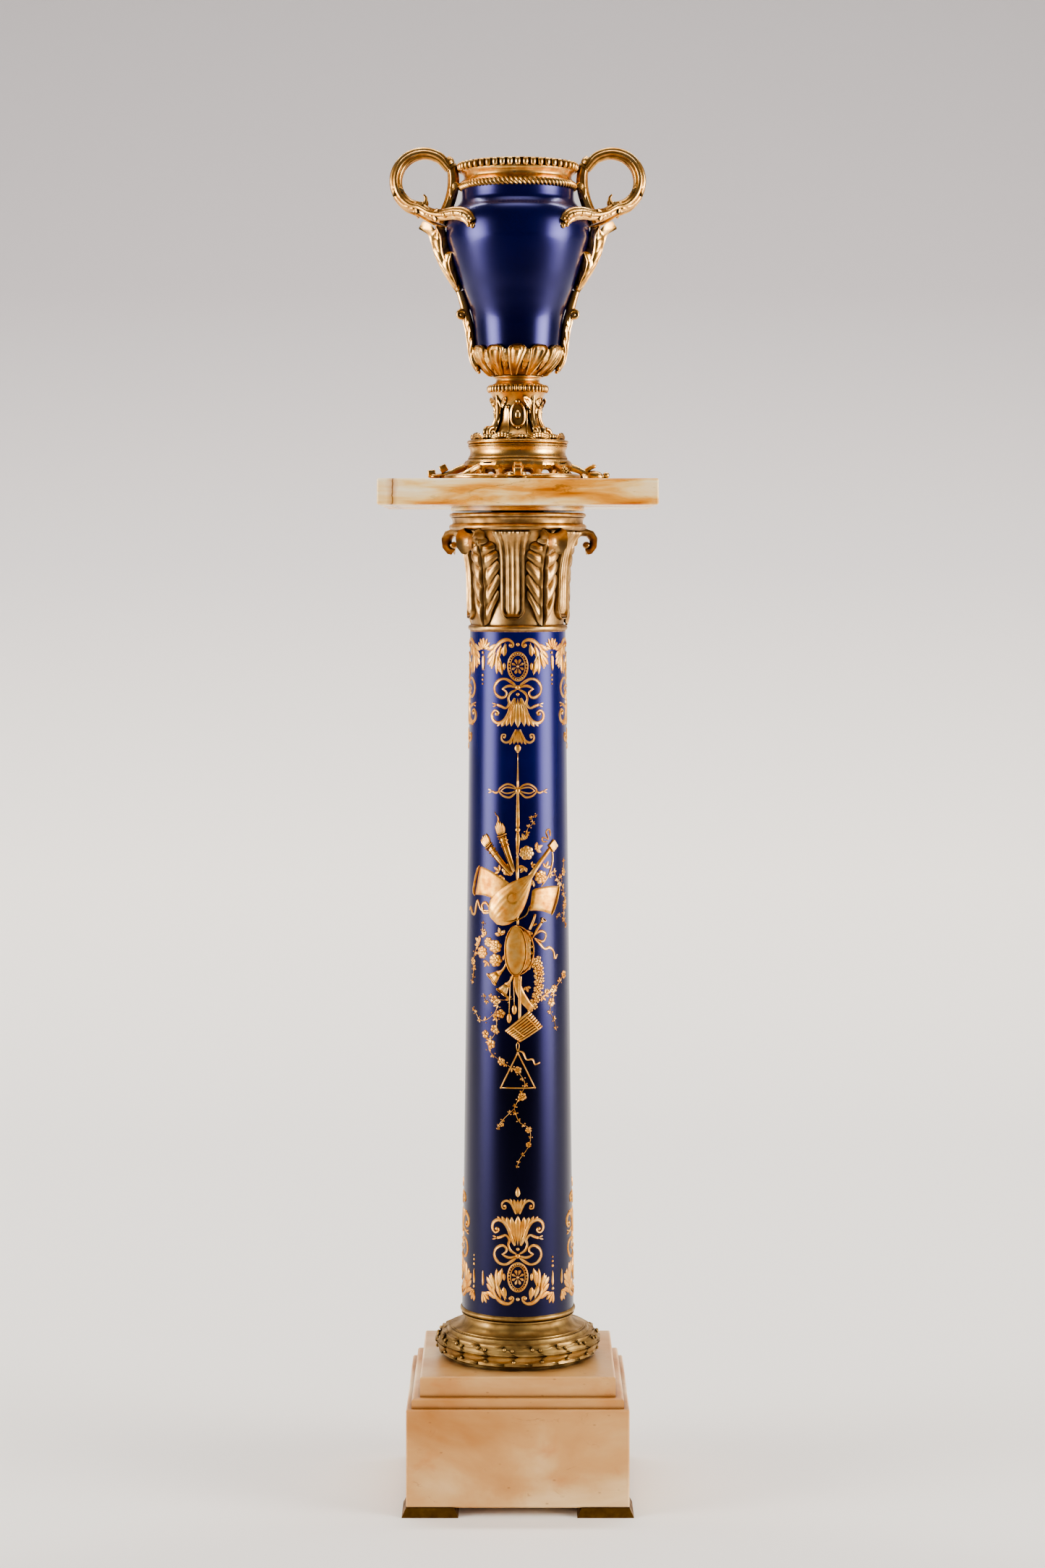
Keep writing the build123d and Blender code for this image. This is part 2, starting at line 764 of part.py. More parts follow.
vase_floor_z = vase_z + vase_floor
with BuildPart() as vase:
    with BuildSketch(Plane.XZ):
        with BuildLine():
            Spline(*vase_flank(0), tangents=rising)
            Spline(*vase_crown(0), tangents=closing)
            Polyline(
                vase_crown(0)[-1],
                (vase_neck_r, vase_top_z),
                (vase_neck_r - vase_wall, vase_top_z),
                vase_crown(-vase_wall)[-1],
            )
            Spline(*vase_crown(-vase_wall), tangents=closing)
            Spline((vase_foot_r, vase_floor_z), *vase_flank(-vase_wall)[2:], tangents=rising)
            Polyline(
                (vase_foot_r, vase_floor_z),
                (rod_r + bore_gap, vase_floor_z),
                (rod_r + bore_gap, vase_z),
                vase_flank(0)[0],
            )
        make_face()
    revolve(axis=Axis.Z)

# The body is kept as two stacked sections that meet at the hip, each a simpler hollow than the whole
vase_cut = Plane.XY.offset(vase_z + vase_hip_z)
with BuildPart() as vase_lower:
    add(vase.part)
    split(bisect_by=vase_cut, keep=Keep.BOTTOM)
vase_lower.part.label = "vase_lower"
export_step(vase_lower.part, "parts/vase_lower.step")

with BuildPart() as vase_upper:
    add(vase.part)
    split(bisect_by=vase_cut, keep=Keep.TOP)
vase_upper.part.label = "vase_upper"
export_step(vase_upper.part, "parts/vase_upper.step")

with BuildPart() as vase_gasket:
    with BuildSketch(Plane.XY.offset(vase_gasket_z)):
        Circle(vase_foot_r - 2)
        Circle(rod_r + bore_gap, mode=Mode.SUBTRACT)
    extrude(amount=gasket_height)
vase_gasket.part.label = "vase_gasket"
export_step(vase_gasket.part, "parts/vase_gasket.step")

with BuildPart() as cup:
    with BuildSketch(Plane.XZ):
        with BuildLine():
            Line((rod_r + bore_gap, cup_z), (collet_top_r, cup_z))
            ThreePointArc(
                (collet_top_r, cup_z),
                (cup_r - 4.5, cup_z + cup_height * 0.5),
                (cup_r, cup_z + cup_height),
            )
            Line((cup_r, cup_z + cup_height), (rod_r + bore_gap, cup_z + cup_height))
            Line((rod_r + bore_gap, cup_z + cup_height), (rod_r + bore_gap, cup_z))
        make_face()
    revolve(axis=Axis.Z)
    add(vase_envelope.part, mode=Mode.SUBTRACT)
    with BuildSketch(Plane.XY.offset(vase_gasket_z)):
        Circle(vase_foot_r)
    extrude(amount=gasket_height, mode=Mode.SUBTRACT)
cup.part.label = "cup"
export_step(cup.part, "parts/cup.step")

# --- Amphora: neck mounts ---

rope_edge_r = rope_r - rope_height / 2
with BuildPart() as rope_ring:
    with BuildSketch(Plane.XZ):
        with BuildLine():
            Line((mouth_r, vase_top_z), (rope_edge_r, vase_top_z))
            ThreePointArc(
                (rope_edge_r, vase_top_z),
                (rope_r, vase_top_z + rope_height / 2),
                (rope_edge_r, collar_z),
            )
            Line((rope_edge_r, collar_z), (mouth_r, collar_z))
            Line((mouth_r, collar_z), (mouth_r, vase_top_z))
        make_face()
    revolve(axis=Axis.Z)
    stud_z = vase_top_z + rope_height / 2
    for side in (0, 180):
        with BuildSketch(facing_plane(side)):
            with Locations((0, stud_z)):
                Circle(stud_r + pivot_gap)
        extrude(amount=rope_r + 5, mode=Mode.SUBTRACT)
rope_ring.part.label = "rope_ring"
export_step(rope_ring.part, "parts/rope_ring.step")

with BuildPart() as collar:
    with BuildSketch(Plane.XZ):
        with BuildLine():
            Line((mouth_r, collar_z), (collar_r, collar_z))
            ThreePointArc(
                (collar_r, collar_z),
                (collar_waist_r, collar_z + collar_height / 2),
                (collar_r, rim_z),
            )
            Line((collar_r, rim_z), (mouth_r, rim_z))
            Line((mouth_r, rim_z), (mouth_r, collar_z))
        make_face()
    revolve(axis=Axis.Z)
collar.part.label = "collar"
export_step(collar.part, "parts/collar.step")

with BuildPart() as bead_rim:
    with BuildSketch(Plane.XZ):
        with BuildLine():
            Line((mouth_r, rim_z), (collar_r + 1, rim_z))
            ThreePointArc(
                (collar_r + 1, rim_z),
                (rim_r, rim_z + rim_height * 0.45),
                (rim_r - 3, top_z),
            )
            Line((rim_r - 3, top_z), (mouth_r, top_z))
            Line((mouth_r, top_z), (mouth_r, rim_z))
        make_face()
    revolve(axis=Axis.Z)
bead_rim.part.label = "bead_rim"
export_step(bead_rim.part, "parts/bead_rim.step")

# --- Amphora: handles ---

# Space taken by the rings around the neck, kept clear by the handles
with BuildPart() as neck_envelope:
    with BuildSketch(Plane.XY.offset(vase_neck_z + vase_z)):
        Circle(rope_r + seat_gap)
    extrude(amount=collar_z + seat_gap - vase_neck_z - vase_z)
    with BuildSketch(Plane.XY.offset(collar_z)):
        Circle(rim_r + seat_gap)
    extrude(amount=top_z + 5 - collar_z)

# Corners of the eight-sided line that a ring's strands follow
corner_r = ring_r / cos(pi / 8)
stem_top_x = ring_centre_x - ring_r
leaf_joint_x = vase_belly_r + 6
leaf_joint_z = vase_z + vase_belly_z + 14
tip_x = vase_belly_r * 0.62
tip_y = vase_belly_r * 0.78
tip_z = vase_z + vase_belly_z + 8
for side_name, side in {"right": 1, "left": -1}.items():
    with BuildPart() as handle:
        with BuildLine() as stem_line:
            FilletPolyline(
                (side * leaf_joint_x, 0, leaf_joint_z),
                (side * stem_top_x, 0, vase_top_z - 2),
                (side * stem_top_x, 0, ring_centre_z + 12),
                (side * (stem_top_x + 10), 0, ring_centre_z + 25),
                radius=[40, 14],
            )
        with BuildSketch(Plane(stem_line.line @ 0, z_dir=stem_line.line % 0)):
            Circle(stem_bar_r)
        sweep(path=stem_line.line)
        for turn in (-1, 1):
            corners = []
            for step in range(1, 6):
                corner_angle = radians(157.5 - 45 * step)
                corner_x = side * (ring_centre_x + corner_r * cos(corner_angle))
                corner_z = ring_centre_z + corner_r * sin(corner_angle)
                corners.append((corner_x, turn * (3 + strand_splay * step / 5), corner_z))
            with BuildLine() as strand_line:
                FilletPolyline(
                    (side * (stem_top_x + 5), turn * 3, ring_centre_z + 19),
                    *corners,
                    (side * (vase_belly_r + 4), turn * tip_y * 0.6, tip_z + 10),
                    (side * tip_x, turn * tip_y, tip_z),
                    radius=[ring_r - 12, ring_r - 3, ring_r - 3, ring_r - 3, 24, 24],
                )
            with BuildSketch(Plane(strand_line.line @ 0, z_dir=strand_line.line % 0)):
                Circle(strand_r)
            sweep(path=strand_line.line)
        with BuildSketch(Plane(stem_line.line @ 0.93, z_dir=stem_line.line % 0.93)):
            Ellipse(band_r, band_r + 2)
        extrude(amount=3, both=True)
        add(vase_envelope.part, mode=Mode.SUBTRACT)
        add(neck_envelope.part, mode=Mode.SUBTRACT)
        with BuildSketch(facing_plane(90 - 90 * side)):
            with Locations((0, stud_z)):
                Circle(stud_r + pivot_gap)
        extrude(amount=stem_top_x + 1, mode=Mode.SUBTRACT)
    handle.part.label = f"handle_{side_name}"
    export_step(handle.part, f"parts/handle_{side_name}.step")

    with BuildPart() as stud:
        with BuildSketch(facing_plane(90 - 90 * side).offset(mouth_r + 0.5)):
            with Locations((0, stud_z)):
                Circle(stud_r)
        extrude(amount=stem_top_x - mouth_r - 0.5)
    stud.part.label = f"handle_stud_{side_name}"
    export_step(stud.part, f"parts/handle_stud_{side_name}.step")

    leaf_z = leaf_joint_z - seat_gap
    leaf_foot_z = vase_z + vase_hip_z + 8
    with BuildPart() as handle_leaf:
        with BuildSketch(radial_plane(90 - 90 * side)):
            with BuildLine():
                leaf_line = Spline(
                    (leaf_joint_x + 26, leaf_z),
                    (leaf_joint_x + 16, leaf_z - 14),
                    (leaf_joint_x + 9, leaf_z - 44),
                    (vase_hip_r + 13, leaf_foot_z),
                )
                Line(leaf_line @ 1, (vase_hip_r + 3, leaf_foot_z))
                Line((vase_hip_r + 3, leaf_foot_z), (vase_belly_r - 12, leaf_z - 30))
                Line((vase_belly_r - 12, leaf_z - 30), (vase_belly_r - 6, leaf_z))
                Line((vase_belly_r - 6, leaf_z), (leaf_joint_x + 6, leaf_z))
                Line((leaf_joint_x + 6, leaf_z), (leaf_joint_x + 13, leaf_z - 9))
                Line((leaf_joint_x + 13, leaf_z - 9), leaf_line @ 0)
            make_face()
        extrude(amount=leaf_half_depth, both=True)
        add(vase_envelope.part, mode=Mode.SUBTRACT)
        add(handle.part, mode=Mode.SUBTRACT)
    handle_leaf.part.label = f"handle_leaf_{side_name}"
    export_step(handle_leaf.part, f"parts/handle_leaf_{side_name}.step")

    bracket_z = leaf_foot_z - seat_gap
    bracket_foot_z = cup_z + 6
    with BuildPart() as bracket:
        with BuildSketch(radial_plane(90 - 90 * side)):
            with BuildLine():
                Polyline(
                    (vase_hip_r + 10, bracket_z),
                    (vase_hip_r + 6, bracket_z - 14),
                    (vase_flank_r + 12, bracket_z - 24),
                    (vase_flank_r + 13, bracket_z - 32),
                    (vase_flank_r + 8, bracket_z - 50),
                    (cup_r + 8, cup_z + cup_height),
                    (cup_r + 1, bracket_foot_z),
                    (cup_r - 12, bracket_foot_z),
                    (vase_waist_r - 3, vase_z + vase_waist_z),
                    (vase_flank_r - 4, vase_z + vase_flank_z),
                    (vase_hip_r - 1, bracket_z),
                    (vase_hip_r + 10, bracket_z),
                )
            make_face()
        extrude(amount=bracket_half_depth, both=True)
        add(vase_envelope.part, mode=Mode.SUBTRACT)
        with BuildSketch(Plane.XZ):
            with BuildLine():
                Line((0, cup_z), (collet_top_r + seat_gap, cup_z))
                ThreePointArc(
                    (collet_top_r + seat_gap, cup_z),
                    (cup_r - 4.5 + seat_gap, cup_z + cup_height * 0.5),
                    (cup_r + seat_gap, cup_z + cup_height),
                )
                Line((cup_r + seat_gap, cup_z + cup_height), (0, cup_z + cup_height))
                Line((0, cup_z + cup_height), (0, cup_z))
            make_face()
        revolve(axis=Axis.Z, mode=Mode.SUBTRACT)
    bracket.part.label = f"handle_bracket_{side_name}"
    export_step(bracket.part, f"parts/handle_bracket_{side_name}.step")

# --- Amphora: rod and nuts ---

rod_lower_nut_z = drum_z - foot_ring_web - rod_nut_height
rod_washer_z = vase_floor_z
rod_upper_nut_z = rod_washer_z + rod_washer_height
with BuildPart() as rod:
    with BuildSketch(Plane.XY.offset(rod_lower_nut_z - 2)):
        Circle(rod_r)
    extrude(amount=rod_upper_nut_z + rod_nut_height + 2 - rod_lower_nut_z + 2)
    chamfer(rod.edges(), length=rod_r / 6)
rod.part.label = "rod"
export_step(rod.part, "parts/rod.step")

with BuildPart() as rod_washer:
    with BuildSketch(Plane.XY.offset(rod_washer_z)):
        Circle(rod_washer_r)
        Circle(rod_r + bore_gap, mode=Mode.SUBTRACT)
    extrude(amount=rod_washer_height)
rod_washer.part.label = "rod_washer"
export_step(rod_washer.part, "parts/rod_washer.step")

rod_nuts = {"rod_nut_lower": rod_lower_nut_z, "rod_nut_upper": rod_upper_nut_z}
for nut_name, nut_z in rod_nuts.items():
    with BuildPart() as rod_nut:
        with BuildSketch(Plane.XY.offset(nut_z)):
            RegularPolygon(rod_nut_width / 2, 6, major_radius=False)
            Circle(rod_r + pivot_gap, mode=Mode.SUBTRACT)
        extrude(amount=rod_nut_height)
    rod_nut.part.label = nut_name
    export_step(rod_nut.part, f"parts/{nut_name}.step")
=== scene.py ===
import math

import bmesh
import bpy
from mathutils import Matrix, Vector


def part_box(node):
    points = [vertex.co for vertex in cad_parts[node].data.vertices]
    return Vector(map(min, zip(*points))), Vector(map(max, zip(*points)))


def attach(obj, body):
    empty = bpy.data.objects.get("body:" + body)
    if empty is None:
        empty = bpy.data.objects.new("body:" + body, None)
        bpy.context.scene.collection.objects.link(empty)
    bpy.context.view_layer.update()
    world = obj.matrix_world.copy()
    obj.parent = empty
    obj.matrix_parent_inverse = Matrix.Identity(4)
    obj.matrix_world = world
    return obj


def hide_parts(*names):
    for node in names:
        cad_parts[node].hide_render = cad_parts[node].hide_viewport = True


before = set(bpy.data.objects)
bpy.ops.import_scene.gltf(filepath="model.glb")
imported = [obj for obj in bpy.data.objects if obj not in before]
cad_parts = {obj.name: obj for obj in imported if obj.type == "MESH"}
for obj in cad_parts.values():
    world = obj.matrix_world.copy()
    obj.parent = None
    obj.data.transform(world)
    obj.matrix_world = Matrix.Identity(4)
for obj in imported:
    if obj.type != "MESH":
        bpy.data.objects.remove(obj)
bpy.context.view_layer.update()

mm = 0.001
fullTurn = 2 * math.pi
print("frame loaded:", len(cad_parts), "nodes")


def hexColour(text):
    # sRGB hex to linear
    parts = [int(text[i : i + 2], 16) / 255 for i in (1, 3, 5)]
    return [p / 12.92 if p <= 0.04045 else ((p + 0.055) / 1.055) ** 2.4 for p in parts] + [1.0]


def addNode(tree, kind, settings=None, links=None):
    node = tree.nodes.new("ShaderNode" + kind)
    for key, value in (settings or {}).items():
        if isinstance(key, int) or key in node.inputs:
            node.inputs[key].default_value = value
        else:
            setattr(node, key, value)
    for key, source in (links or {}).items():
        tree.links.new(source, node.inputs[key])
    return node


def startMaterial(name, shaderSettings):
    material = bpy.data.materials.new(name)
    material.use_nodes = True
    tree = material.node_tree
    tree.nodes.clear()
    shader = addNode(tree, "BsdfPrincipled", shaderSettings)
    addNode(tree, "OutputMaterial", {}, {"Surface": shader.outputs[0]})
    place = addNode(tree, "TexCoord").outputs["Object"]
    return material, tree, shader, place


def rampNode(tree, source, stops):
    ramp = addNode(tree, "ValToRGB", {}, {"Fac": source})
    elements = ramp.color_ramp.elements
    elements[0].position, elements[0].color = stops[0][0], hexColour(stops[0][1])
    elements[1].position, elements[1].color = stops[-1][0], hexColour(stops[-1][1])
    for position, colour in stops[1:-1]:
        elements.new(position).color = hexColour(colour)
    return ramp.outputs["Color"]


def mixColour(tree, amount, first, second, mode="MIX"):
    mix = addNode(tree, "Mix", {"data_type": "RGBA", "blend_type": mode})
    for index, value in ((0, amount), (6, first), (7, second)):
        if isinstance(value, str):
            mix.inputs[index].default_value = hexColour(value)
        elif isinstance(value, (int, float)):
            mix.inputs[index].default_value = value
        else:
            tree.links.new(value, mix.inputs[index])
    return mix.outputs[2]


def mapRange(tree, source, lowIn, highIn, lowOut, highOut):
    settings = {"From Min": lowIn, "From Max": highIn, "To Min": lowOut, "To Max": highOut}
    return addNode(tree, "MapRange", settings, {"Value": source}).outputs[0]


# Gilt bronze: cast, chased and gilded, so high parts shine; the hollows are darkened towards a dark brown by an
# ambient-occlusion mask, partly real grime and partly painted shade
def giltBronze(name, look):
    material, tree, shader, place = startMaterial(name, {"Metallic": 1.0})
    mottle = addNode(tree, "TexNoise", {"Scale": 1 / (look["mottle"] * mm), "Detail": 4}, {"Vector": place})
    grain = addNode(tree, "TexNoise", {"Scale": 1 / (0.9 * mm), "Detail": 3}, {"Vector": place})
    bright = rampNode(tree, mottle.outputs["Fac"], [(0.3, look["shade"]), (0.5, look["body"]),
                                                    (0.72, look["light"])])
    # painted shade and grime: ambient occlusion darkens the hollows and creases towards the dark brown colour
    hollow = addNode(tree, "AmbientOcclusion", {"Distance": look["hollowReach"] * mm, "samples": 8})
    grimeAndShade = mapRange(tree, hollow.outputs["AO"], look["hollowLow"], look["hollowHigh"], 1.0, 0.0)
    colour = mixColour(tree, grimeAndShade, bright, look["grimeAndShade"])
    tree.links.new(colour, shader.inputs["Base Color"])
    polish = mapRange(tree, mottle.outputs["Fac"], 0.3, 0.7, look["roughHigh"], look["roughLow"])
    dull = addNode(tree, "Math", {"operation": "MULTIPLY_ADD", 1: 0.3}, {0: grimeAndShade, 2: polish})
    tree.links.new(dull.outputs[0], shader.inputs["Roughness"])
    bump = addNode(tree, "Bump", {"Strength": look["bump"], "Distance": 0.25 * mm},
                   {"Height": grain.outputs["Fac"]})
    tree.links.new(bump.outputs[0], shader.inputs["Normal"])
    return material


giltLook = {
    "light": "#FFD692", "body": "#DFAA64", "shade": "#B07E46", "grimeAndShade": "#46301C",
    "mottle": 14, "hollowReach": 5, "hollowLow": 0.4, "hollowHigh": 0.92,
    "roughLow": 0.22, "roughHigh": 0.36, "bump": 0.12,
}
giltMaterial = giltBronze("fireGiltBronze", giltLook)
capitalMaterial = giltBronze(
    "satinGiltBronze",
    {**giltLook, "light": "#D8B27C", "body": "#B48C5A", "shade": "#8A683E", "grimeAndShade": "#2E2014",
     "roughLow": 0.3, "roughHigh": 0.46},
)
baseMaterial = giltBronze(
    "wornGiltBronze",
    {**giltLook, "light": "#C2A066", "body": "#9E7E4E", "shade": "#785E38", "grimeAndShade": "#2E2214",
     "roughLow": 0.4, "roughHigh": 0.56, "mottle": 20},
)
footMaterial = giltBronze(
    "agedBrass",
    {**giltLook, "light": "#9A7338", "body": "#775426", "shade": "#5A3E1A", "grimeAndShade": "#2A1C0C",
     "roughLow": 0.4, "roughHigh": 0.58, "mottle": 18},
)


# Cobalt glaze on porcelain: a deep blue under a thick clear glaze that mirrors the lights, with painted shade
# that darkens the blue towards the bottom
def cobaltGlaze(name, topColour, shadedLowColour, topZ, lowZ, gloss):
    material, tree, shader, place = startMaterial(
        name, {"Roughness": 0.26, "IOR": 1.5, "Specular IOR Level": gloss, "Specular Tint": (0.36, 0.33, 1.0,
            1.0),
         "Coat Weight": 0.1, "Coat Roughness": 0.04}
    )
    # painted shade: the base colour fades from the upper blue to a darker, nearly black blue low down
    height = addNode(tree, "SeparateXYZ", {}, {0: place}).outputs[2]
    rise = mapRange(tree, height, lowZ, topZ, 0.0, 1.0)
    cloud = addNode(tree, "TexNoise", {"Scale": 1 / (60 * mm), "Detail": 3}, {"Vector": place})
    colour = mixColour(tree, rise, shadedLowColour, topColour)
    patchy = mapRange(tree, cloud.outputs["Fac"], 0.3, 0.7, 0.75, 1.15)
    toned = addNode(tree, "HueSaturation", {}, {"Color": colour, "Value": patchy})
    tree.links.new(toned.outputs[0], shader.inputs["Base Color"])
    ripple = addNode(tree, "TexNoise", {"Scale": 1 / (35 * mm), "Detail": 1}, {"Vector": place})
    bump = addNode(tree, "Bump", {"Strength": 0.06, "Distance": 1.2 * mm}, {"Height": ripple.outputs["Fac"]})
    tree.links.new(bump.outputs[0], shader.inputs["Normal"])
    return material


vaseGlaze = cobaltGlaze("cobaltGlazeVase", "#030336", "#02021E", 1.5, 1.3, 0.9)
shaftGlaze = cobaltGlaze("cobaltGlazeShaft", "#060850", "#010106", 1.0, 0.5, 0.5)

# White porcelain body, seen inside the vase's mouth
whiteGlaze, tree, shader, place = startMaterial("whitePorcelain", {"Roughness": 0.12, "IOR": 1.5})
cloud = addNode(tree, "TexNoise", {"Scale": 1 / (25 * mm), "Detail": 3}, {"Vector": place})
tone = rampNode(tree, cloud.outputs["Fac"], [(0.3, "#D9D6CC"), (0.7, "#EEEBE2")])
tree.links.new(tone, shader.inputs["Base Color"])

# Raised gilding on the glaze: soft burnished gold paste with a dull orange cast
shaftGilding, tree, shader, place = startMaterial("raisedGilding", {"Metallic": 0.85})
cloud = addNode(tree, "TexNoise", {"Scale": 1 / (9 * mm), "Detail": 5}, {"Vector": place})
tone = rampNode(tree, cloud.outputs["Fac"], [(0.3, "#C98238"), (0.5, "#E3A552"), (0.7, "#F3C278")])
tree.links.new(tone, shader.inputs["Base Color"])
crease = addNode(tree, "AmbientOcclusion", {"Distance": 1.6 * mm, "samples": 6})
shadow = mapRange(tree, crease.outputs["AO"], 0.45, 0.95, 1.0, 0.0)
tree.links.new(mixColour(tree, shadow, tone, "#7A4416"), shader.inputs["Base Color"])
wear = mapRange(tree, cloud.outputs["Fac"], 0.3, 0.7, 0.52, 0.36)
tree.links.new(wear, shader.inputs["Roughness"])


# Onyx: a polished translucent stone in flat beds, with rusty veins and small pits
def onyx(name, look):
    material, tree, shader, place = startMaterial(
        name,
        {"Roughness": 0.22, "IOR": 1.5, "Subsurface Weight": 0.12, "Subsurface Scale": 0.006,
         "Subsurface Radius": (1.0, 0.6, 0.35)},
    )
    beds = addNode(tree, "Mapping", {"Scale": look["bedScale"]}, {"Vector": place}).outputs[0]
    cloud = addNode(tree, "TexNoise", {"Scale": 1 / (look["cloud"] * mm), "Detail": 5, "Distortion": 0.4},
                    {"Vector": beds})
    colour = rampNode(tree, cloud.outputs["Fac"], look["tones"])
    veins = addNode(
        tree, "TexNoise", {"Scale": 1 / (look["vein"] * mm), "Detail": 9, "Roughness": 0.62,
                           "Distortion": 1.4}, {"Vector": beds}
    )
    offset = addNode(tree, "Math", {"operation": "SUBTRACT", 1: 0.5}, {0: veins.outputs["Fac"]})
    width = addNode(tree, "Math", {"operation": "ABSOLUTE"}, {0: offset.outputs[0]})
    line = mapRange(tree, width.outputs[0], 0.0, look["veinWidth"], look["veinStrength"], 0.0)
    mask = addNode(tree, "TexNoise", {"Scale": 1 / (look["patch"] * mm), "Detail": 2}, {"Vector": place})
    patch = mapRange(tree, mask.outputs["Fac"], look["patchLow"], look["patchLow"] + 0.12, 0.0, 1.0)
    amount = addNode(tree, "Math", {"operation": "MULTIPLY"}, {0: line, 1: patch})
    colour = mixColour(tree, amount.outputs[0], colour, look["veinColour"])
    stain = addNode(tree, "TexNoise", {"Scale": 1 / (look["stain"] * mm), "Detail": 6, "Distortion": 0.8},
                    {"Vector": place})
    rust = mapRange(tree, stain.outputs["Fac"], 0.58, 0.78, 0.0, look["stainStrength"])
    colour = mixColour(tree, rust, colour, look["stainColour"])
    flecks = addNode(tree, "TexVoronoi", {"Scale": 1 / (look["fleck"] * mm), "Randomness": 1.0},
                     {"Vector": beds})
    dots = mapRange(tree, flecks.outputs["Distance"], 0.04, 0.09, look["fleckStrength"], 0.0)
    colour = mixColour(tree, dots, colour, look["fleckColour"])
    for fissure in look["fissures"]:
        colour = addFissure(tree, place, colour, fissure)
    # painted shade: ambient occlusion darkens the stone brown in the seams and corners where parts meet
    seam = addNode(tree, "AmbientOcclusion", {"Distance": 5 * mm, "samples": 6})
    seamShade = mapRange(tree, seam.outputs["AO"], 0.55, 0.88, 0.85, 0.0)
    colour = mixColour(tree, seamShade, colour, "#5E3516")
    tree.links.new(colour, shader.inputs["Base Color"])
    gloss = mapRange(tree, cloud.outputs["Fac"], 0.3, 0.7, look["roughHigh"], look["roughLow"])
    tree.links.new(gloss, shader.inputs["Roughness"])
    pits = addNode(tree, "Bump", {"Strength": 0.15, "Distance": 0.4 * mm, "invert": True},
                   {"Height": amount.outputs[0]})
    tree.links.new(pits.outputs[0], shader.inputs["Normal"])
    return material


# One upright crack with a rusty halo, at a place along the slab's front
def addFissure(tree, place, colour, fissure):
    wander = addNode(tree, "TexNoise", {"Scale": 60, "Detail": 4}, {"Vector": place})
    along = addNode(tree, "SeparateXYZ", {}, {0: place}).outputs[0]
    shift = mapRange(tree, wander.outputs["Fac"], 0.0, 1.0, -0.005, 0.005)
    moved = addNode(tree, "Math", {"operation": "ADD"}, {0: along, 1: shift})
    gap = addNode(tree, "Math", {"operation": "SUBTRACT", 1: fissure["x"]}, {0: moved.outputs[0]})
    away = addNode(tree, "Math", {"operation": "ABSOLUTE"}, {0: gap.outputs[0]})
    halo = mapRange(tree, away.outputs[0], 0.0, fissure["halo"] * mm, 0.65, 0.0)
    colour = mixColour(tree, halo, colour, "#B4671F")
    crack = mapRange(tree, away.outputs[0], 0.0, fissure["crack"] * mm, 0.9, 0.0)
    return mixColour(tree, crack, colour, "#5A2A0C")


slabMaterial = onyx(
    "bandedHoneyOnyx",
    {"bedScale": (0.35, 0.35, 2.2), "cloud": 38, "tones": [(0.3, "#B8640F"), (0.42, "#E6A044"),
        (0.52, "#F8D08A"), (0.66, "#FFEDCC")],
     "vein": 60, "veinWidth": 0.018, "veinStrength": 0.75, "veinColour": "#7E4718", "patch": 90,
     "patchLow": 0.42,
     "stain": 42, "stainStrength": 0.6, "stainColour": "#B06A28", "fleck": 9, "fleckStrength": 0.35,
     "fleckColour": "#7A4A22",
     "roughLow": 0.16, "roughHigh": 0.32, "fissures": [{"x": -0.143, "halo": 7, "crack": 1.1}]},
)
plinthMaterial = onyx(
    "creamOnyx",
    {"bedScale": (0.6, 0.6, 1.2), "cloud": 110, "tones": [(0.3, "#AA7034"), (0.48, "#C4945C"),
        (0.66, "#DCBC8C")],
     "vein": 70, "veinWidth": 0.007, "veinStrength": 0.75, "veinColour": "#8F5A30", "patch": 34,
     "patchLow": 0.56,
     "stain": 60, "stainStrength": 0.7, "stainColour": "#B8702E", "fleck": 16, "fleckStrength": 0.5,
     "fleckColour": "#7C4A26",
     "roughLow": 0.28, "roughHigh": 0.45, "fissures": []},
)


# Plain turned, cast or cut stuff of the inner pieces: one colour with a light mottle
def plainStuff(name, light, dark, grainSize, roughness, metallic):
    material, tree, shader, place = startMaterial(name, {"Metallic": metallic, "Roughness": roughness})
    grain = addNode(tree, "TexNoise", {"Scale": 1 / (grainSize * mm), "Detail": 5}, {"Vector": place})
    tree.links.new(rampNode(tree, grain.outputs["Fac"], [(0.35, dark), (0.65, light)]),
                   shader.inputs["Base Color"])
    bump = addNode(tree, "Bump", {"Strength": 0.2, "Distance": 0.3 * mm}, {"Height": grain.outputs["Fac"]})
    tree.links.new(bump.outputs[0], shader.inputs["Normal"])
    return material


ironMaterial = plainStuff("blackenedIron", "#2A2624", "#14110F", 3, 0.6, 0.8)
steelMaterial = plainStuff("turnedSteel", "#A9A9AB", "#7D7D80", 2, 0.32, 1.0)
corkMaterial = plainStuff("corkSheet", "#A47C52", "#6E4C2C", 2.5, 0.85, 0.0)
print("materials ready")

# CAD nodes that keep their own shape
keptNodes = {
    "turntable_slab": slabMaterial,
    "plinth_block": plinthMaterial, "plinth_step": plinthMaterial, "plinth_top": plinthMaterial,
    "turntable_hub": ironMaterial, "turntable_disc": slabMaterial, "pivot_post": steelMaterial,
    "tie_rod": steelMaterial, "tie_nut_lower": steelMaterial, "tie_nut_upper": steelMaterial,
    "tie_washer": steelMaterial, "rod": steelMaterial, "rod_nut_lower": steelMaterial,
    "rod_nut_upper": steelMaterial, "rod_washer": steelMaterial,
    "shaft_gasket_lower": corkMaterial, "shaft_gasket_upper": corkMaterial, "vase_gasket": corkMaterial,
    "handle_stud_left": giltMaterial, "handle_stud_right": giltMaterial,
    "foot_fl": footMaterial, "foot_fr": footMaterial, "foot_bl": footMaterial, "foot_br": footMaterial,
}
for nodeName, material in keptNodes.items():
    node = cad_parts[nodeName]
    node.data.materials.clear()
    node.data.materials.append(material)


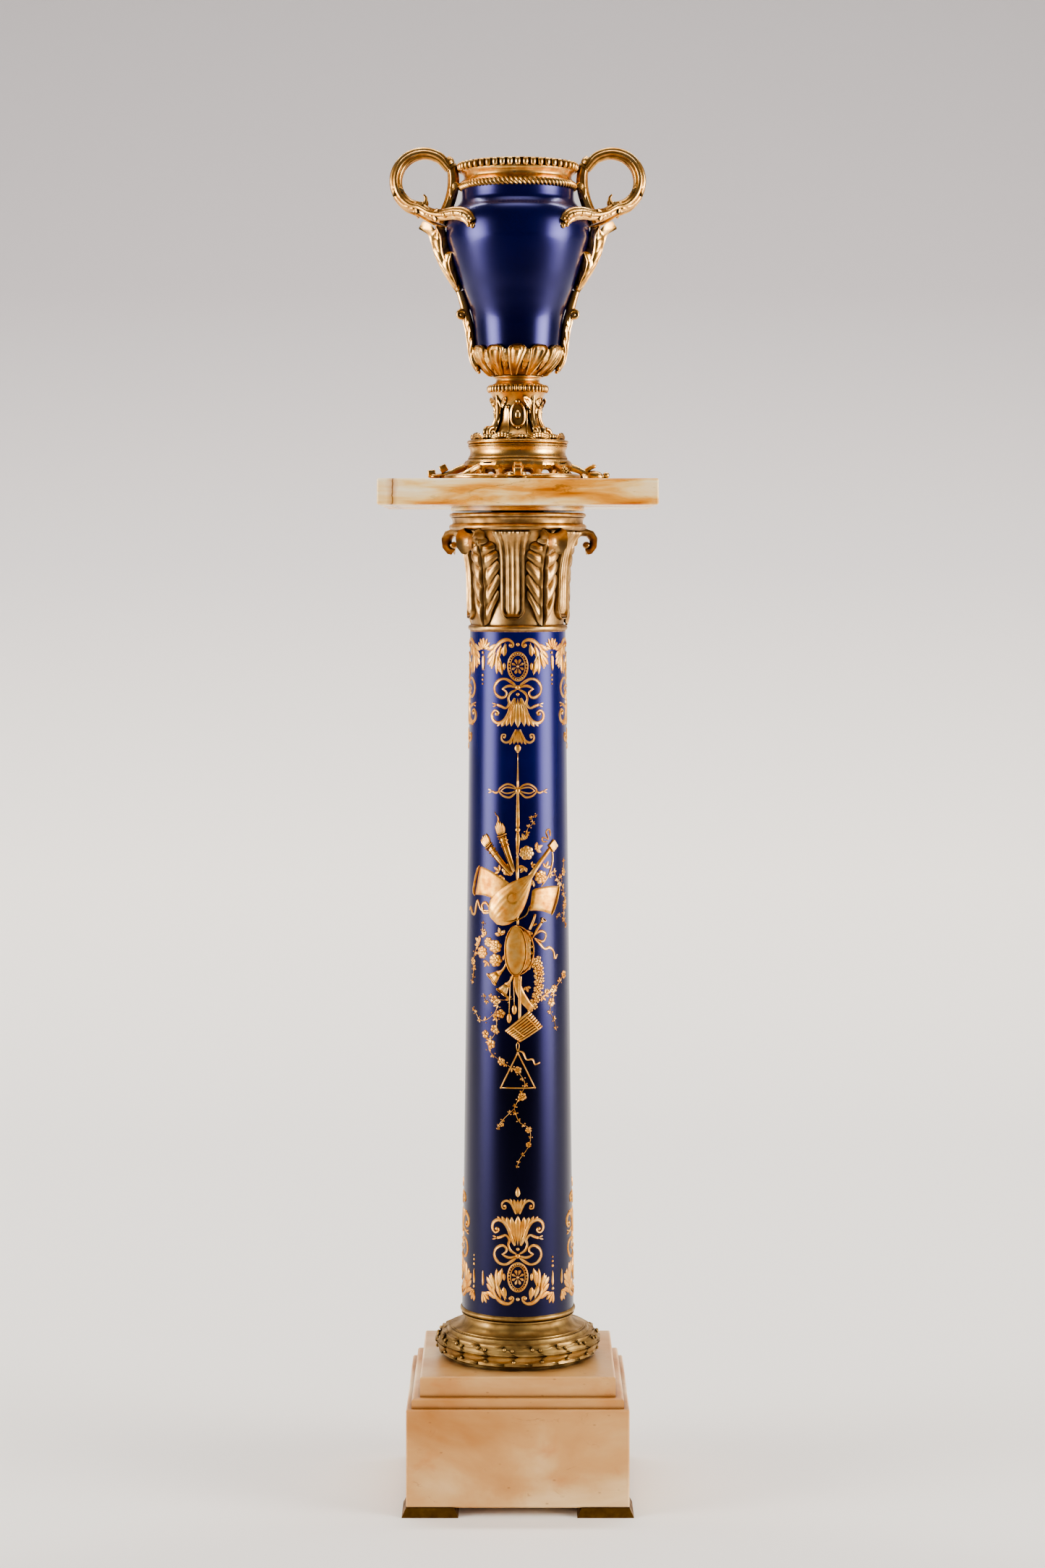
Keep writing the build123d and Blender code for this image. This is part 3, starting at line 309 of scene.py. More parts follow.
def finishPiece(name, bm, body, material, nodes=(), sharpAngle=38):
    mesh = bpy.data.meshes.new(name)
    bm.to_mesh(mesh)
    bm.free()
    mesh.polygons.foreach_set("use_smooth", [True] * len(mesh.polygons))
    mesh.set_sharp_from_angle(angle=math.radians(sharpAngle))
    mesh.materials.append(material)
    piece = bpy.data.objects.new(name, mesh)
    bpy.context.scene.collection.objects.link(piece)
    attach(piece, body)
    if nodes:
        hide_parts(*nodes)
    return piece


# Adds one bmesh to another, through a matrix
def mergeInto(target, part, matrix=None):
    if matrix is not None:
        bmesh.ops.transform(part, matrix=matrix, verts=part.verts)
        if matrix.determinant() < 0:
            bmesh.ops.reverse_faces(part, faces=part.faces)
    scratch = bpy.data.meshes.new("scratch")
    part.to_mesh(scratch)
    part.free()
    target.from_mesh(scratch)
    bpy.data.meshes.remove(scratch)


# A closed outline of (radius, height) in millimetres, turned round the vertical axis
def turned(outline, steps=96, closed=True):
    bm = bmesh.new()
    corners = [bm.verts.new((r * mm, 0, z * mm)) for r, z in outline]
    edges = [bm.edges.new(pair) for pair in zip(corners, corners[1:])]
    if closed:
        edges.append(bm.edges.new((corners[-1], corners[0])))
    bmesh.ops.spin(
        bm, geom=corners + edges, cent=(0, 0, 0), axis=(0, 0, 1), angle=fullTurn, steps=steps, use_merge=True
    )
    bmesh.ops.remove_doubles(bm, verts=bm.verts, dist=1e-6)
    bmesh.ops.recalc_face_normals(bm, faces=bm.faces)
    return bm


# Points of a quarter, half or other arc in an outline
def arcPoints(centre, radius, start, end, count=8):
    turns = [math.radians(start + (end - start) * i / count) for i in range(count + 1)]
    return [(centre[0] + radius * math.cos(t), centre[1] + radius * math.sin(t)) for t in turns]


# A half-round bead of an outline, standing out of a wall between two heights
def bead(wallR, low, high, count=8):
    return arcPoints((wallR, (low + high) / 2), (high - low) / 2, -90, 90, count)


# A smooth curve through a few points, and the direction along it
def smoothLine(points, t):
    last = len(points) - 1
    spot = min(max(t, 0.0), 1.0) * last
    index = min(int(spot), last - 1)
    local = spot - index
    p1, p2 = Vector(points[index]), Vector(points[index + 1])
    p0 = Vector(points[index - 1]) if index else p1 * 2 - p2
    p3 = Vector(points[index + 2]) if index + 2 <= last else p2 * 2 - p1
    return 0.5 * (
        (2 * p1) + (p2 - p0) * local + (2 * p0 - 5 * p1 + 4 * p2 - p3) * local**2 + (3 * p1 - p0 - 3 * p2 + p3) * local**3
    )


def lineFrame(points, t, side):
    spot = smoothLine(points, t)
    ahead = (smoothLine(points, t + 0.01) - smoothLine(points, t - 0.01)).normalized()
    across = (side - ahead * side.dot(ahead)).normalized()
    return spot, ahead, across, across.cross(ahead)


def evenValue(values, t):
    spot = min(max(t, 0.0), 1.0) * (len(values) - 1)
    index = min(int(spot), len(values) - 2)
    return values[index] + (values[index + 1] - values[index]) * (spot - index)


# A cast leaf along a line: lobed edges that sweep upwards, a midrib, veins and a cupped section
def leafBlade(line, side, look):
    bm = bmesh.new()
    rows = max(8, look["lobes"] * 7)
    bmesh.ops.create_grid(bm, x_segments=look.get("columns", 14), y_segments=rows, size=1)
    for vert in bm.verts:
        u, v = vert.co.x, (vert.co.y + 1) / 2
        reach = abs(u)
        swept = v + look.get("sweep", 0.1) * reach**1.6 * (1 - v)
        phase = (v * look["lobes"]) % 1.0
        notch = look["notch"] * (1 - math.sin(math.pi * min(1.0, phase * 1.05)) ** 0.45)
        half = evenValue(look["widths"], v) * (1 - notch * reach**2)
        spot, ahead, across, out = lineFrame(line, swept, side)
        rib = look.get("rib", 1.0) * math.exp(-((reach - look.get("ribGap", 0.0)) / 0.09) ** 2)
        vein = look.get("vein", 0.6) * math.sin(math.pi * phase) * math.sin(math.pi * reach) ** 0.8
        cup = look.get("cup", 1.5) * reach**2
        vert.co = (spot + across * half * u + out * (rib + vein + cup)) * mm
    bmesh.ops.solidify(bm, geom=bm.faces, thickness=look.get("thickness", 1.6) * mm)
    bmesh.ops.recalc_face_normals(bm, faces=bm.faces)
    return bm


# A rod along a line, in millimetres, with a radius for each stretch and a lobed section for reeding
def reededRod(line, radii, side, reeds=0, reedDepth=0.0, steps=40, around=16, flat=1.0):
    bm = bmesh.new()
    bmesh.ops.create_grid(bm, x_segments=around, y_segments=steps, size=1)
    for vert in bm.verts:
        turn = (vert.co.x + 1) * math.pi
        t = (vert.co.y + 1) / 2
        spot, ahead, across, out = lineFrame(line, t, side)
        radius = evenValue(radii, t) * (1 + reedDepth * (abs(math.cos(turn * reeds / 2)) - 0.6
            if reeds else 0))
        vert.co = (spot + (across * math.cos(turn) + out * math.sin(turn) * flat) * radius) * mm
    bmesh.ops.remove_doubles(bm, verts=bm.verts, dist=2e-6)
    bmesh.ops.holes_fill(bm, edges=[e for e in bm.edges if e.is_boundary])
    bmesh.ops.recalc_face_normals(bm, faces=bm.faces)
    return bm


def ball(centre, size, rounds=2):
    bm = bmesh.new()
    bmesh.ops.create_icosphere(bm, subdivisions=rounds, radius=1)
    scale = Matrix.Diagonal((*size, 1)) if hasattr(size, "__len__") else Matrix.Scale(size, 4)
    bmesh.ops.transform(bm, matrix=Matrix.Scale(mm, 4) @ Matrix.Translation(centre) @ scale, verts=bm.verts)
    return bm


def onRing(radius, angle, height):
    return Vector((radius * math.cos(angle), radius * math.sin(angle), height))


def turnZ(angle):
    return Matrix.Rotation(angle, 4, "Z")


def low(node):
    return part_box(node)[0].z / mm


def high(node):
    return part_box(node)[1].z / mm


def wide(node):
    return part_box(node)[1].x / mm


# Laurel base
laurel = {"bunches": 18, "leafLength": 42, "leafHalf": 10.6, "coreInset": 4.6, "berry": 2.4}
laurelLow, laurelHigh, laurelR = low("laurel_ring"), high("laurel_ring"), wide("laurel_ring")
sectionR = (laurelHigh - laurelLow) / 2
laurelMid = laurelLow + sectionR
ringR = laurelR - sectionR
innerR = ringR - 20


def onLaurel(angle, lean, lift):
    # a place on the ring: lean is the angle round its section, lift the height above its core
    reach = sectionR - laurel["coreInset"] + lift
    return onRing(ringR + reach * math.cos(lean), angle, laurelMid + reach * math.sin(lean))


bm = turned(
    [(innerR, laurelLow), (ringR + 4, laurelLow)]
    + arcPoints((ringR, laurelMid), sectionR - laurel["coreInset"], -70, 70, 12)
    + [(ringR + 2, laurelHigh), (innerR, laurelHigh)],
    steps=72,
)
bunchTurn = fullTurn / laurel["bunches"]
for bunch in range(laurel["bunches"]):
    for lean, delay, lift in ((58, 0.5, 0.0), (-36, 0.5, 0.0), (10, 0.0, 1.2)):
        leaf = bmesh.new()
        bmesh.ops.create_grid(leaf, x_segments=8, y_segments=10, size=1)
        for vert in leaf.verts:
            u, v = vert.co.x, (vert.co.y + 1) / 2
            half = laurel["leafHalf"] * math.sin(math.pi * min(1, 0.12 + v * 0.88)) ** 0.75
            angle = (bunch + delay + v * laurel["leafLength"] / (ringR * bunchTurn)) * bunchTurn
            tilt = math.radians(lean * (1 - 0.15 * v)) + u * half / sectionR
            rise = 0.6 + 3.0 * v * (1 - 0.2 * v) - 1.2 * u * u + 0.9 * math.exp(-((abs(u) / 0.1) ** 2))
            fold = 0.5 * math.cos(u * 9 * math.pi / 2)
            vert.co = onLaurel(angle, tilt, lift + rise + fold) * mm
        bmesh.ops.solidify(leaf, geom=leaf.faces, thickness=1.5 * mm)
        bmesh.ops.recalc_face_normals(leaf, faces=leaf.faces)
        mergeInto(bm, leaf)
    for lean, delay in ((30, 0.3), (-18, 0.36), (34, 0.02)):
        spot = onLaurel((bunch + delay) * bunchTurn, math.radians(lean), 3.4)
        mergeInto(bm, ball(spot, laurel["berry"], 1))
finishPiece("laurel_garland", bm, "column", baseMaterial, ["laurel_ring"], 60)

socketHigh, socketR = high("base_socket"), wide("shaft_gasket_lower") + 2.5
shaftBottomR = wide("shaft")
scotia = {"footR": 80, "footZ": laurelHigh + 0.6, "neckR": 62.6, "topZ": socketHigh - 9.6}
bm = turned(
    [(30, scotia["footZ"] - 6), (scotia["footR"], scotia["footZ"] - 6), (scotia["footR"], scotia["footZ"]),
     (scotia["footR"] - 2, scotia["footZ"] + 0.4)]
    + [
        (scotia["footR"] - 2.2 - (scotia["footR"] - 2.2 - scotia["neckR"]) * math.sin(t),
         scotia["footZ"] + 1.2 + (scotia["topZ"] - scotia["footZ"] - 1.2) * (1 - math.cos(t)))
        for t in [i * math.pi / 28 for i in range(15)]
    ]
    + bead(socketR - 3.2, scotia["topZ"] + 0.4, scotia["topZ"] + 2.8, 5)
    + [(socketR - 3.8, scotia["topZ"] + 3.2)]
    + bead(socketR - 3.4, scotia["topZ"] + 3.6, socketHigh)
    + [(shaftBottomR + 0.25, socketHigh), (shaftBottomR + 0.25, socketHigh - 4), (30, socketHigh - 4)],
    steps=128,
)
finishPiece("base_scotia", bm, "column", baseMaterial, ["base_socket"])
print("base ready")

# Capital
astragalLow, astragalHigh, astragalR = low("astragal"), high("astragal"), wide("astragal")
bm = turned([(52, astragalLow), (astragalR - 3.5, astragalLow)] + bead(astragalR - 3.5, astragalLow,
    astragalHigh, 10) + [(52, astragalHigh)], 96)
finishPiece("astragal_bead", bm, "column", capitalMaterial, ["astragal"])

capital = {
    "leaves": 5, "firstAngle": math.radians(-60), "lobes": 6,
    "bellBottomR": 54.5, "bellTopR": 68, "tongueHalf": 14.5,
}
bellLow, bellHigh = low("capital_bell"), high("capital_bell")
bellTall = bellHigh - bellLow


def bellR(share):
    # the bell rises almost straight and then flares
    flare = max(0.0, (share - 0.45) / 0.55)
    return capital["bellBottomR"] + 2 * share + (capital["bellTopR"] - capital["bellBottomR"] - 2) * flare**2.2


outer = [(bellR(i / 24), bellLow + bellTall * i / 24) for i in range(25)]
inner = [(r - 5, z) for r, z in reversed(outer)]
bm = turned(outer + inner, 96)
leafStep = fullTurn / capital["leaves"]
for index in range(capital["leaves"]):
    # a hollow tongue between two leaves, with a raised border, two inner reeds and a round foot
    middle = capital["firstAngle"] + (index + 0.5) * leafStep
    tongue = bmesh.new()
    bmesh.ops.create_grid(tongue, x_segments=36, y_segments=48, size=1)
    for vert in tongue.verts:
        u, v = vert.co.x, (vert.co.y + 1) / 2
        share = 0.07 + 0.91 * v
        foot = math.sqrt(max(0.0, 1 - max(0.0, 1 - v / 0.14) ** 2))
        half = capital["tongueHalf"] * max(0.05, foot) * (1 + 0.5 * max(0.0, (v - 0.72) / 0.28) ** 1.7)
        reach = abs(u)
        edge = max(reach, 1 - v / 0.16)
        border = 4.6 * math.exp(-(((edge - 0.86) / 0.12) ** 2))
        reeds = 2.6 * math.exp(-((u / 0.11) ** 2)) + 3.2 * math.exp(-(((reach - 0.42) / 0.13) ** 2))
        reeds *= min(1.0, max(0.0, (v - 0.04) / 0.06))
        skirt = -3.0 * max(0.0, (reach - 0.94) / 0.06)
        radius = bellR(share) + 1.2 + border + reeds + skirt + 4 * max(0.0, (v - 0.85) / 0.15) ** 2
        angle = middle + u * half / bellR(share)
        vert.co = onRing(radius, angle, bellLow + bellTall * share) * mm
    bmesh.ops.solidify(tongue, geom=tongue.faces, thickness=2.0 * mm)
    bmesh.ops.recalc_face_normals(tongue, faces=tongue.faces)
    mergeInto(bm, tongue)
finishPiece("capital_bell_tongues", bm, "column", capitalMaterial, ["capital_bell"], 60)

leafLook = {
    "lobes": capital["lobes"], "columns": 26, "notch": 0.42, "sweep": 0.2, "rib": 3.6, "ribGap": 0.12,
    "vein": 4.2, "cup": -3.0, "thickness": 2.2,
    "widths": [17, 20, 21.5, 22, 22, 22, 21.5, 20, 16, 9, 4],
}
for index in range(capital["leaves"]):
    angle = capital["firstAngle"] + index * leafStep
    bm = bmesh.new()
    blade = [(bellR(s) + 2.6, 0, bellLow + bellTall * s) for s in (0.01, 0.2, 0.4, 0.6, 0.75, 0.86)]
    blade += [(bellR(0.93) + 6, 0, bellLow + bellTall * 0.93)]
    mergeInto(bm, leafBlade(blade, Vector((0, 1, 0)), leafLook), turnZ(angle))
    # the curled spoon at the leaf's top, hanging out under the moulding
    tipLine = [
        (bellR(0.7) + 4, 0, bellLow + bellTall * 0.72), (bellR(0.85) + 6, 0, bellLow + bellTall * 0.87),
        (74, 0, bellLow + bellTall * 0.955), (83, 0, bellLow + bellTall * 0.965),
        (88, 0, bellLow + bellTall * 0.91), (86.5, 0, bellLow + bellTall * 0.835),
        (82, 0, bellLow + bellTall * 0.815),
    ]
    tipLook = {"lobes": 1, "columns": 14, "notch": 0.0, "rib": 0.3, "vein": 0.0, "cup": -6.0,
               "thickness": 2.6,
               "widths": [5, 8, 12, 13.5, 13, 10.5, 5]}
    mergeInto(bm, leafBlade(tipLine, Vector((0, 1, 0)), tipLook), turnZ(angle))
    mergeInto(bm, ball((83.5, 0, bellLow + bellTall * 0.845), (4.6, 8.5, 4.6), 2), turnZ(angle))
    name = f"capital_leaf_{index + 1}"
    finishPiece(f"acanthus_{index + 1}", bm, "column", capitalMaterial, [name], 60)

abacusLow, abacusHigh, abacusR = low("capital_abacus"), high("capital_abacus"), wide("capital_abacus")
postFlangeR = wide("pivot_post")
bm = turned(
    [(30, abacusLow), (abacusR - 8, abacusLow)]
    + bead(abacusR - 3.6, abacusLow + 0.6, abacusLow + 7.8, 8)
    + [(abacusR - 4.4, abacusLow + 8.4)]
    + [(abacusR - 4.4 + 2.4 * (1 - math.cos(t)), abacusLow + 8.4 + 6.6 * math.sin(t))
       for t in [i * math.pi / 12 for i in range(1, 6)]]
    + bead(abacusR - 3.2, abacusLow + 15.2, abacusHigh - 0.4, 6)
    + [(abacusR - 4, abacusHigh), (postFlangeR + 0.3, abacusHigh), (postFlangeR + 0.3, abacusHigh - 6),
       (30, abacusHigh - 6)],
    128,
)
finishPiece("capital_moulding", bm, "column", capitalMaterial, ["capital_abacus"])
print("capital ready")

# Amphora foot
slabTop = high("turntable_slab")
footRingR, drumLow = wide("foot_ring"), low("drum")
scrollReach = wide("foot_scroll_1")
footRing = {"arches": 16, "archTall": 12, "bigArch": 16}
bm = bmesh.new()
# the apron: a thin band opened by arches, thick at its top and moulded below the drum
bmesh.ops.create_grid(bm, x_segments=footRing["arches"] * 14, y_segments=10, size=1)
for vert in bm.verts:
    turn, v = (vert.co.x + 1) * math.pi, (vert.co.y + 1) / 2
    phase = ((turn / fullTurn * footRing["arches"]) % 1.0) * 2 - 1
    # the arches on the diagonals are taller and wider than the rest
    big = int(turn / fullTurn * footRing["arches"]) % 4 == 2
    tall, reach = (footRing["bigArch"], 0.92) if big else (footRing["archTall"], 0.72)
    arch = tall * math.sqrt(max(0.0, 1 - (phase / reach) ** 2)) if abs(phase) < reach else 0.0
    foot = slabTop + 1.0 + arch
    z = foot + (drumLow - foot) * v
    rolled = 1.6 * math.exp(-(((z - foot) / 1.5) ** 2)) + 1.6 * math.exp(-(((drumLow - 2 - z) / 1.4) ** 2))
    vert.co = onRing(footRingR - 5.5 + 3.0 * v**1.5 + rolled, turn, z) * mm
bmesh.ops.remove_doubles(bm, verts=bm.verts, dist=1e-5)
bmesh.ops.recalc_face_normals(bm, faces=bm.faces)
bmesh.ops.solidify(bm, geom=bm.faces, thickness=4 * mm)
plate = turned([(5.3, drumLow - 5), (footRingR - 6, drumLow - 5), (footRingR - 6, drumLow), (5.3, drumLow)],
               64)
mergeInto(bm, plate)


def spiral(centre, radius, start, turns, lift, count=10, shrink=0.85):
    # a flat volute that winds inwards, as points in millimetres
    spots = []
    for i in range(count + 1):
        t = i / count
        reach = radius * (1 - shrink * t)
        turn = start + turns * fullTurn * t
        spots.append((centre[0] + reach * math.cos(turn), centre[1] + reach * math.sin(turn), lift))
    return spots


# low scroll bars lying on the slab between the four feet, each with a volute at both ends
for quarter in range(4):
    base = quarter * math.pi / 2
    bar = [onRing(r, base + math.radians(a), slabTop + 3.9) for r, a in
           ((80, 8), (86, 14), (88, 24), (87, 36), (84, 48), (80, 58), (77, 67), (76, 76), (81, 80), (84, 74),
            (80, 70))]
    mergeInto(bm, reededRod(bar, [3.0, 3.6, 3.9, 4.0, 3.9, 3.8, 3.6, 3.4, 3.2, 3.0, 2.6], Vector((0, 0, 1)),
                            5, 0.16, 60, 18))
    mergeInto(bm, ball(onRing(80, base + math.radians(75), slabTop + 4.6), (5.0, 5.0, 4.6)))
    strut = [onRing(86, base + math.radians(38), slabTop + 4), onRing(78, base + math.radians(42),
        slabTop + 10),
             onRing(68, base + math.radians(44), slabTop + 15), onRing(60, base + math.radians(45),
                 slabTop + 18)]
    mergeInto(bm, reededRod(strut, [3.4, 3.0, 3.2, 4.0], Vector((0, 0, 1)), 6, 0.12, 20, 12))
    if quarter == 2:
        continue
    flower = onRing(79, base + math.radians(42), slabTop + 11)
    for petal in range(6):
        turn = petal * math.pi / 3
        out = Vector((math.cos(base + 0.73), math.sin(base + 0.73), 0.5)).normalized()
        flat = out.orthogonal().normalized()
        spot = flower + out * 3 + Matrix.Rotation(turn, 3, out) @ flat * 3.4
        mergeInto(bm, ball(spot, (2.3, 2.3, 1.9), 1))
    mergeInto(bm, ball(flower + out * 4.4, 1.8, 1))
finishPiece("pierced_foot", bm, "amphora", giltMaterial, ["foot_ring"], 50)

for index in range(4):
    angle = index * math.pi / 2
    bm = bmesh.new()
    along = [(60, 0, drumLow - 3), (70, 0, drumLow - 6.5), (82, 0, slabTop + 9), (92, 0, slabTop + 6.5),
             (scrollReach - 7, 0, slabTop + 5)]
    mergeInto(bm, reededRod(along, [7, 6.2, 5, 4.6, 4], Vector((0, 1, 0)), 6, 0.14, 30, 18, 0.7))
    under = [(66, 0, slabTop + 2.4), (74, 0, slabTop + 6), (82, 0, slabTop + 7.5), (90, 0, slabTop + 4),
             (94, 0, slabTop + 2)]
    mergeInto(bm, reededRod(under, [2.4, 2.6, 2.6, 2.2, 1.8], Vector((0, 1, 0)), 4, 0.1, 24, 10))
    if index == 0:
        # a scaled shell that ends in a bud
        shell = bmesh.new()
        bmesh.ops.create_uvsphere(shell, u_segments=40, v_segments=24, radius=1)
        for vert in shell.verts:
            co = vert.co.copy()
            scale = 1 + 0.05 * math.cos(co.x * 26) * math.cos(math.atan2(co.y, co.z) * 14)
            vert.co = Vector((91 + co.x * 10.5 * scale, co.y * 8 * scale,
                              slabTop + 6.6 + co.z * 6.4 * scale - co.x * 1.2)) * mm
        mergeInto(bm, shell)
        mergeInto(bm, reededRod([(96, 0, slabTop + 3), (101, 0, slabTop + 2.4), (105, 0, slabTop + 5)],
                                [2.2, 1.8, 1.6], Vector((0, 1, 0)), 0, 0, 12, 8))
        mergeInto(bm, ball((scrollReach - 4.2, 0, slabTop + 7.6), 4.1))
        crest = [(80, 0, slabTop + 12), (86, 0, slabTop + 16.5), (91, 0, slabTop + 18.5),
                 (88, 0, slabTop + 20)]
        mergeInto(bm, reededRod(crest, [3.4, 2.8, 2.2, 1.2], Vector((0, 1, 0)), 4, 0.15, 20, 10))
    else:
        for side in (-1, 1):
            curl = [(x, side * (4 + y), z) for x, y, z in spiral((96, 0), 8.5, math.pi, 1.1 * side,
                slabTop + 6, 12)]
            mergeInto(bm, reededRod(curl, [3.4, 3.4, 3.2, 3.0, 2.6, 2.2, 1.8], Vector((0, 0, 1)), 4, 0.1, 44,
                                    10))
        for x, y, z, turn in ((88, 0, 15.5, 0.5), (scrollReach - 7, 0, 9.5, 0.1)):
            block = bmesh.new()
            bmesh.ops.create_cube(block, size=9 * mm)
            bmesh.ops.bevel(block, geom=block.edges[:], offset=1.2 * mm, segments=2, profile=0.5,
                            affect="EDGES", material=-1)
            mergeInto(bm, block, Matrix.Translation(Vector((x, y, slabTop + z)) * mm) @ Matrix.Rotation(turn,
                4, "Y"))
    turnedFoot = bmesh.new()
    mergeInto(turnedFoot, bm, turnZ(angle))
    finishPiece(f"scroll_toe_{index + 1}", turnedFoot, "amphora", giltMaterial,
                [f"foot_scroll_{index + 1}"], 50)

# Drum and frieze
drumHigh, drumR = high("drum"), wide("drum")
waistR = drumR - 6.4
bm = turned(
    [(6, drumLow), (drumR - 1.4, drumLow)]
    + bead(drumR - 1.8, drumLow, drumLow + 3.6, 6)
    + [(drumR - 2.8, drumLow + 4), (drumR - 3.4, drumLow + 5.2)]
    + bead(drumR - 5.2, drumLow + 5.4, drumLow + 8, 5)
    + [(waistR + 1.4, drumLow + 8.4), (waistR + 0.3, drumLow + 10.5), (waistR, drumLow + 13),
       (waistR + 0.2, drumLow + 16), (waistR + 1.2, drumLow + 18.4)]
    + bead(waistR + 1.2, drumLow + 18.6, drumLow + 20.6, 5)
    + bead(waistR + 1.6, drumLow + 20.8, drumLow + 22.8, 5)
    + [(waistR + 1.4, drumLow + 23.2)]
    + bead(waistR + 1.5, drumLow + 23.4, drumHigh - 0.4, 6)
    + [(waistR + 0.6, drumHigh), (6, drumHigh)],
    128,
)
finishPiece("foot_drum", bm, "amphora", giltMaterial, ["drum"])

friezeLow, friezeR = low("drum_frieze"), wide("drum_frieze")
frieze = {"shells": 8, "ribs": 9}
bm = turned([(46, friezeLow), (friezeR - 4, friezeLow), (friezeR - 3, friezeLow + 1.5),
             (friezeR - 7, friezeLow + 3), (46, friezeLow + 3.4)], 96)
for index in range(frieze["shells"]):
    middle = (index + 0.5) * fullTurn / frieze["shells"] + math.radians(4)
    fan = bmesh.new()
    bmesh.ops.create_grid(fan, x_segments=36, y_segments=8, size=1)
    for vert in fan.verts:
        u, v = vert.co.x, (vert.co.y + 1) / 2
        spread = u * math.pi / 2
        ribbed = 0.9 * abs(math.cos(spread * frieze["ribs"]))
        reach = 2 + 13.5 * v
        across = reach * math.sin(spread) * 1.05
        up = reach * math.cos(spread) * 0.5
        radius = friezeR - 5 + 3.2 * math.sin(v * math.pi * 0.75) + ribbed * v
        vert.co = onRing(radius, middle + across / friezeR, friezeLow + 0.6 + up) * mm
    bmesh.ops.solidify(fan, geom=fan.faces, thickness=2.5 * mm)
    bmesh.ops.recalc_face_normals(fan, faces=fan.faces)
    mergeInto(bm, fan)
    between = middle + math.pi / frieze["shells"]
    for shift, size in ((-0.085, 3.1), (0.0, 3.8), (0.085, 3.1)):
        mergeInto(bm, ball(onRing(friezeR - 3.6, between + shift, friezeLow + 3.4), (size * 0.8, size * 0.8,
            size), 2))
finishPiece("shell_frieze", bm, "amphora", giltMaterial, ["drum_frieze"], 60)

# Stem
stemLow, stemHigh = low("stem"), high("stem")
stemTall = stemHigh - stemLow
stemShape = {"bottom": 42, "waist": 26, "top": 33, "waistAt": 0.58}


def stemR(share):
    # a trumpet: wide foot, slim waist and a small flare at the top
    if share < stemShape["waistAt"]:
        rest = 1 - share / stemShape["waistAt"]
        return stemShape["waist"] + (stemShape["bottom"] - stemShape["waist"]) * rest**2.3
    rest = (share - stemShape["waistAt"]) / (1 - stemShape["waistAt"])
    return stemShape["waist"] + (stemShape["top"] - stemShape["waist"]) * rest**2


bm = turned(
    [(16, stemLow)] + [(stemR(i / 30), stemLow + stemTall * i / 30) for i in range(31)] + [(16, stemHigh)], 96
)


def onStem(share, angle, lift):
    return onRing(stemR(share) + lift, angle, stemLow + stemTall * share)


for index in range(4):
    # a leafy rib that stands off the stem and ends in a scroll, then a framed oval, then two tapered bars
    angle = math.radians(45 + index * 90 - 8)
    rib = [onStem(s, 0, k) for s, k in ((0.93, 0.4), (0.8, 1.8), (0.6, 2.8), (0.42, 3.0), (0.27, 3.2),
                                        (0.17, 3.4), (0.1, 2.4))]
    part = bmesh.new()
    ribLook = {"lobes": 4, "columns": 12, "notch": 0.35, "rib": 1.2, "vein": 0.9, "cup": -1.2,
               "thickness": 2.6,
               "widths": [2, 7, 5.4, 4.2, 4.4, 5.4, 4]}
    mergeInto(part, leafBlade(rib, Vector((0, 1, 0)), ribLook))
    mergeInto(part, reededRod(rib, [1.2, 2.4, 2.8, 3.0, 3.4, 3.8, 3.0], Vector((0, 1, 0)), 4, 0.14, 32, 12))
    for side in (-1, 1):
        flare = [onStem(s, side * a, k) for s, a, k in ((0.62, 0.06, 2.6), (0.74, 0.16, 2.8),
            (0.83, 0.3, 2.6), (0.88, 0.44, 3.2))]
        mergeInto(part, leafBlade(flare, Vector((0, 0, 1)), {"lobes": 3, "columns": 8, "notch": 0.35,
            "rib": 0.9, "vein": 0.8, "thickness": 2, "widths": [2.6, 3.8, 3.4, 1.2]}))
    volute = [(onStem(0.12, 0, 5.4)[0] + p[0], 0, stemLow + 7.6 + p[1]) for p in spiral((0, 0), 6.6,
        math.radians(100), -1.25, 0, 14, 0.8)]
    for side in (-1, 1):
        curl = [(x, side * 3.4, z) for x, y, z in volute]
        mergeInto(part, reededRod(curl, [2.6, 2.6, 2.5, 2.3, 2.0, 1.6], Vector((0, 1, 0)), 0, 0, 44, 10))
    mergeInto(part, ball(onStem(0.13, 0, 6.2), (4.6, 4.8, 4.6)))
    mergeInto(bm, part, turnZ(angle))

    front = math.radians(index * 90)
    frameLine = [onStem(0.52 + 0.25 * math.cos(t), front + 0.31 * math.sin(t), 1.6)
                 for t in [k * fullTurn / 16 for k in range(17)]]
    mergeInto(bm, reededRod(frameLine, [1.5] * 17, Vector((math.cos(front), math.sin(front), 0)), 4, 0.12, 56,
                            8))
    for height, size in ((0.52, (1.6, 3.4, 5.6)), (0.8, (1.8, 3.0, 2.6)), (0.25, (1.6, 2.4, 2.4)),
                         (0.6, (2.2, 1.6, 2.6))):
        jewel = ball((stemR(height) + 1.2, 0, stemLow + stemTall * height), size, 2)
        mergeInto(bm, jewel, turnZ(front))
    for shift in (-0.42, 0.42):
        taper = [onStem(s, front + shift * k, 0.4) for s, k in ((0.06, 0.72), (0.25, 0.85), (0.45, 0.97),
            (0.66, 1.05))]
        mergeInto(bm, reededRod(taper, [0.8, 1.2, 1.6, 2.1], Vector((math.cos(front), math.sin(front), 0)), 4,
                                0.2, 20, 10))
        mergeInto(bm, ball(onStem(0.69, front + shift * 1.05, 1.6), 2.5, 2))
finishPiece("stem_ribs", bm, "amphora", giltMaterial, ["stem"], 55)

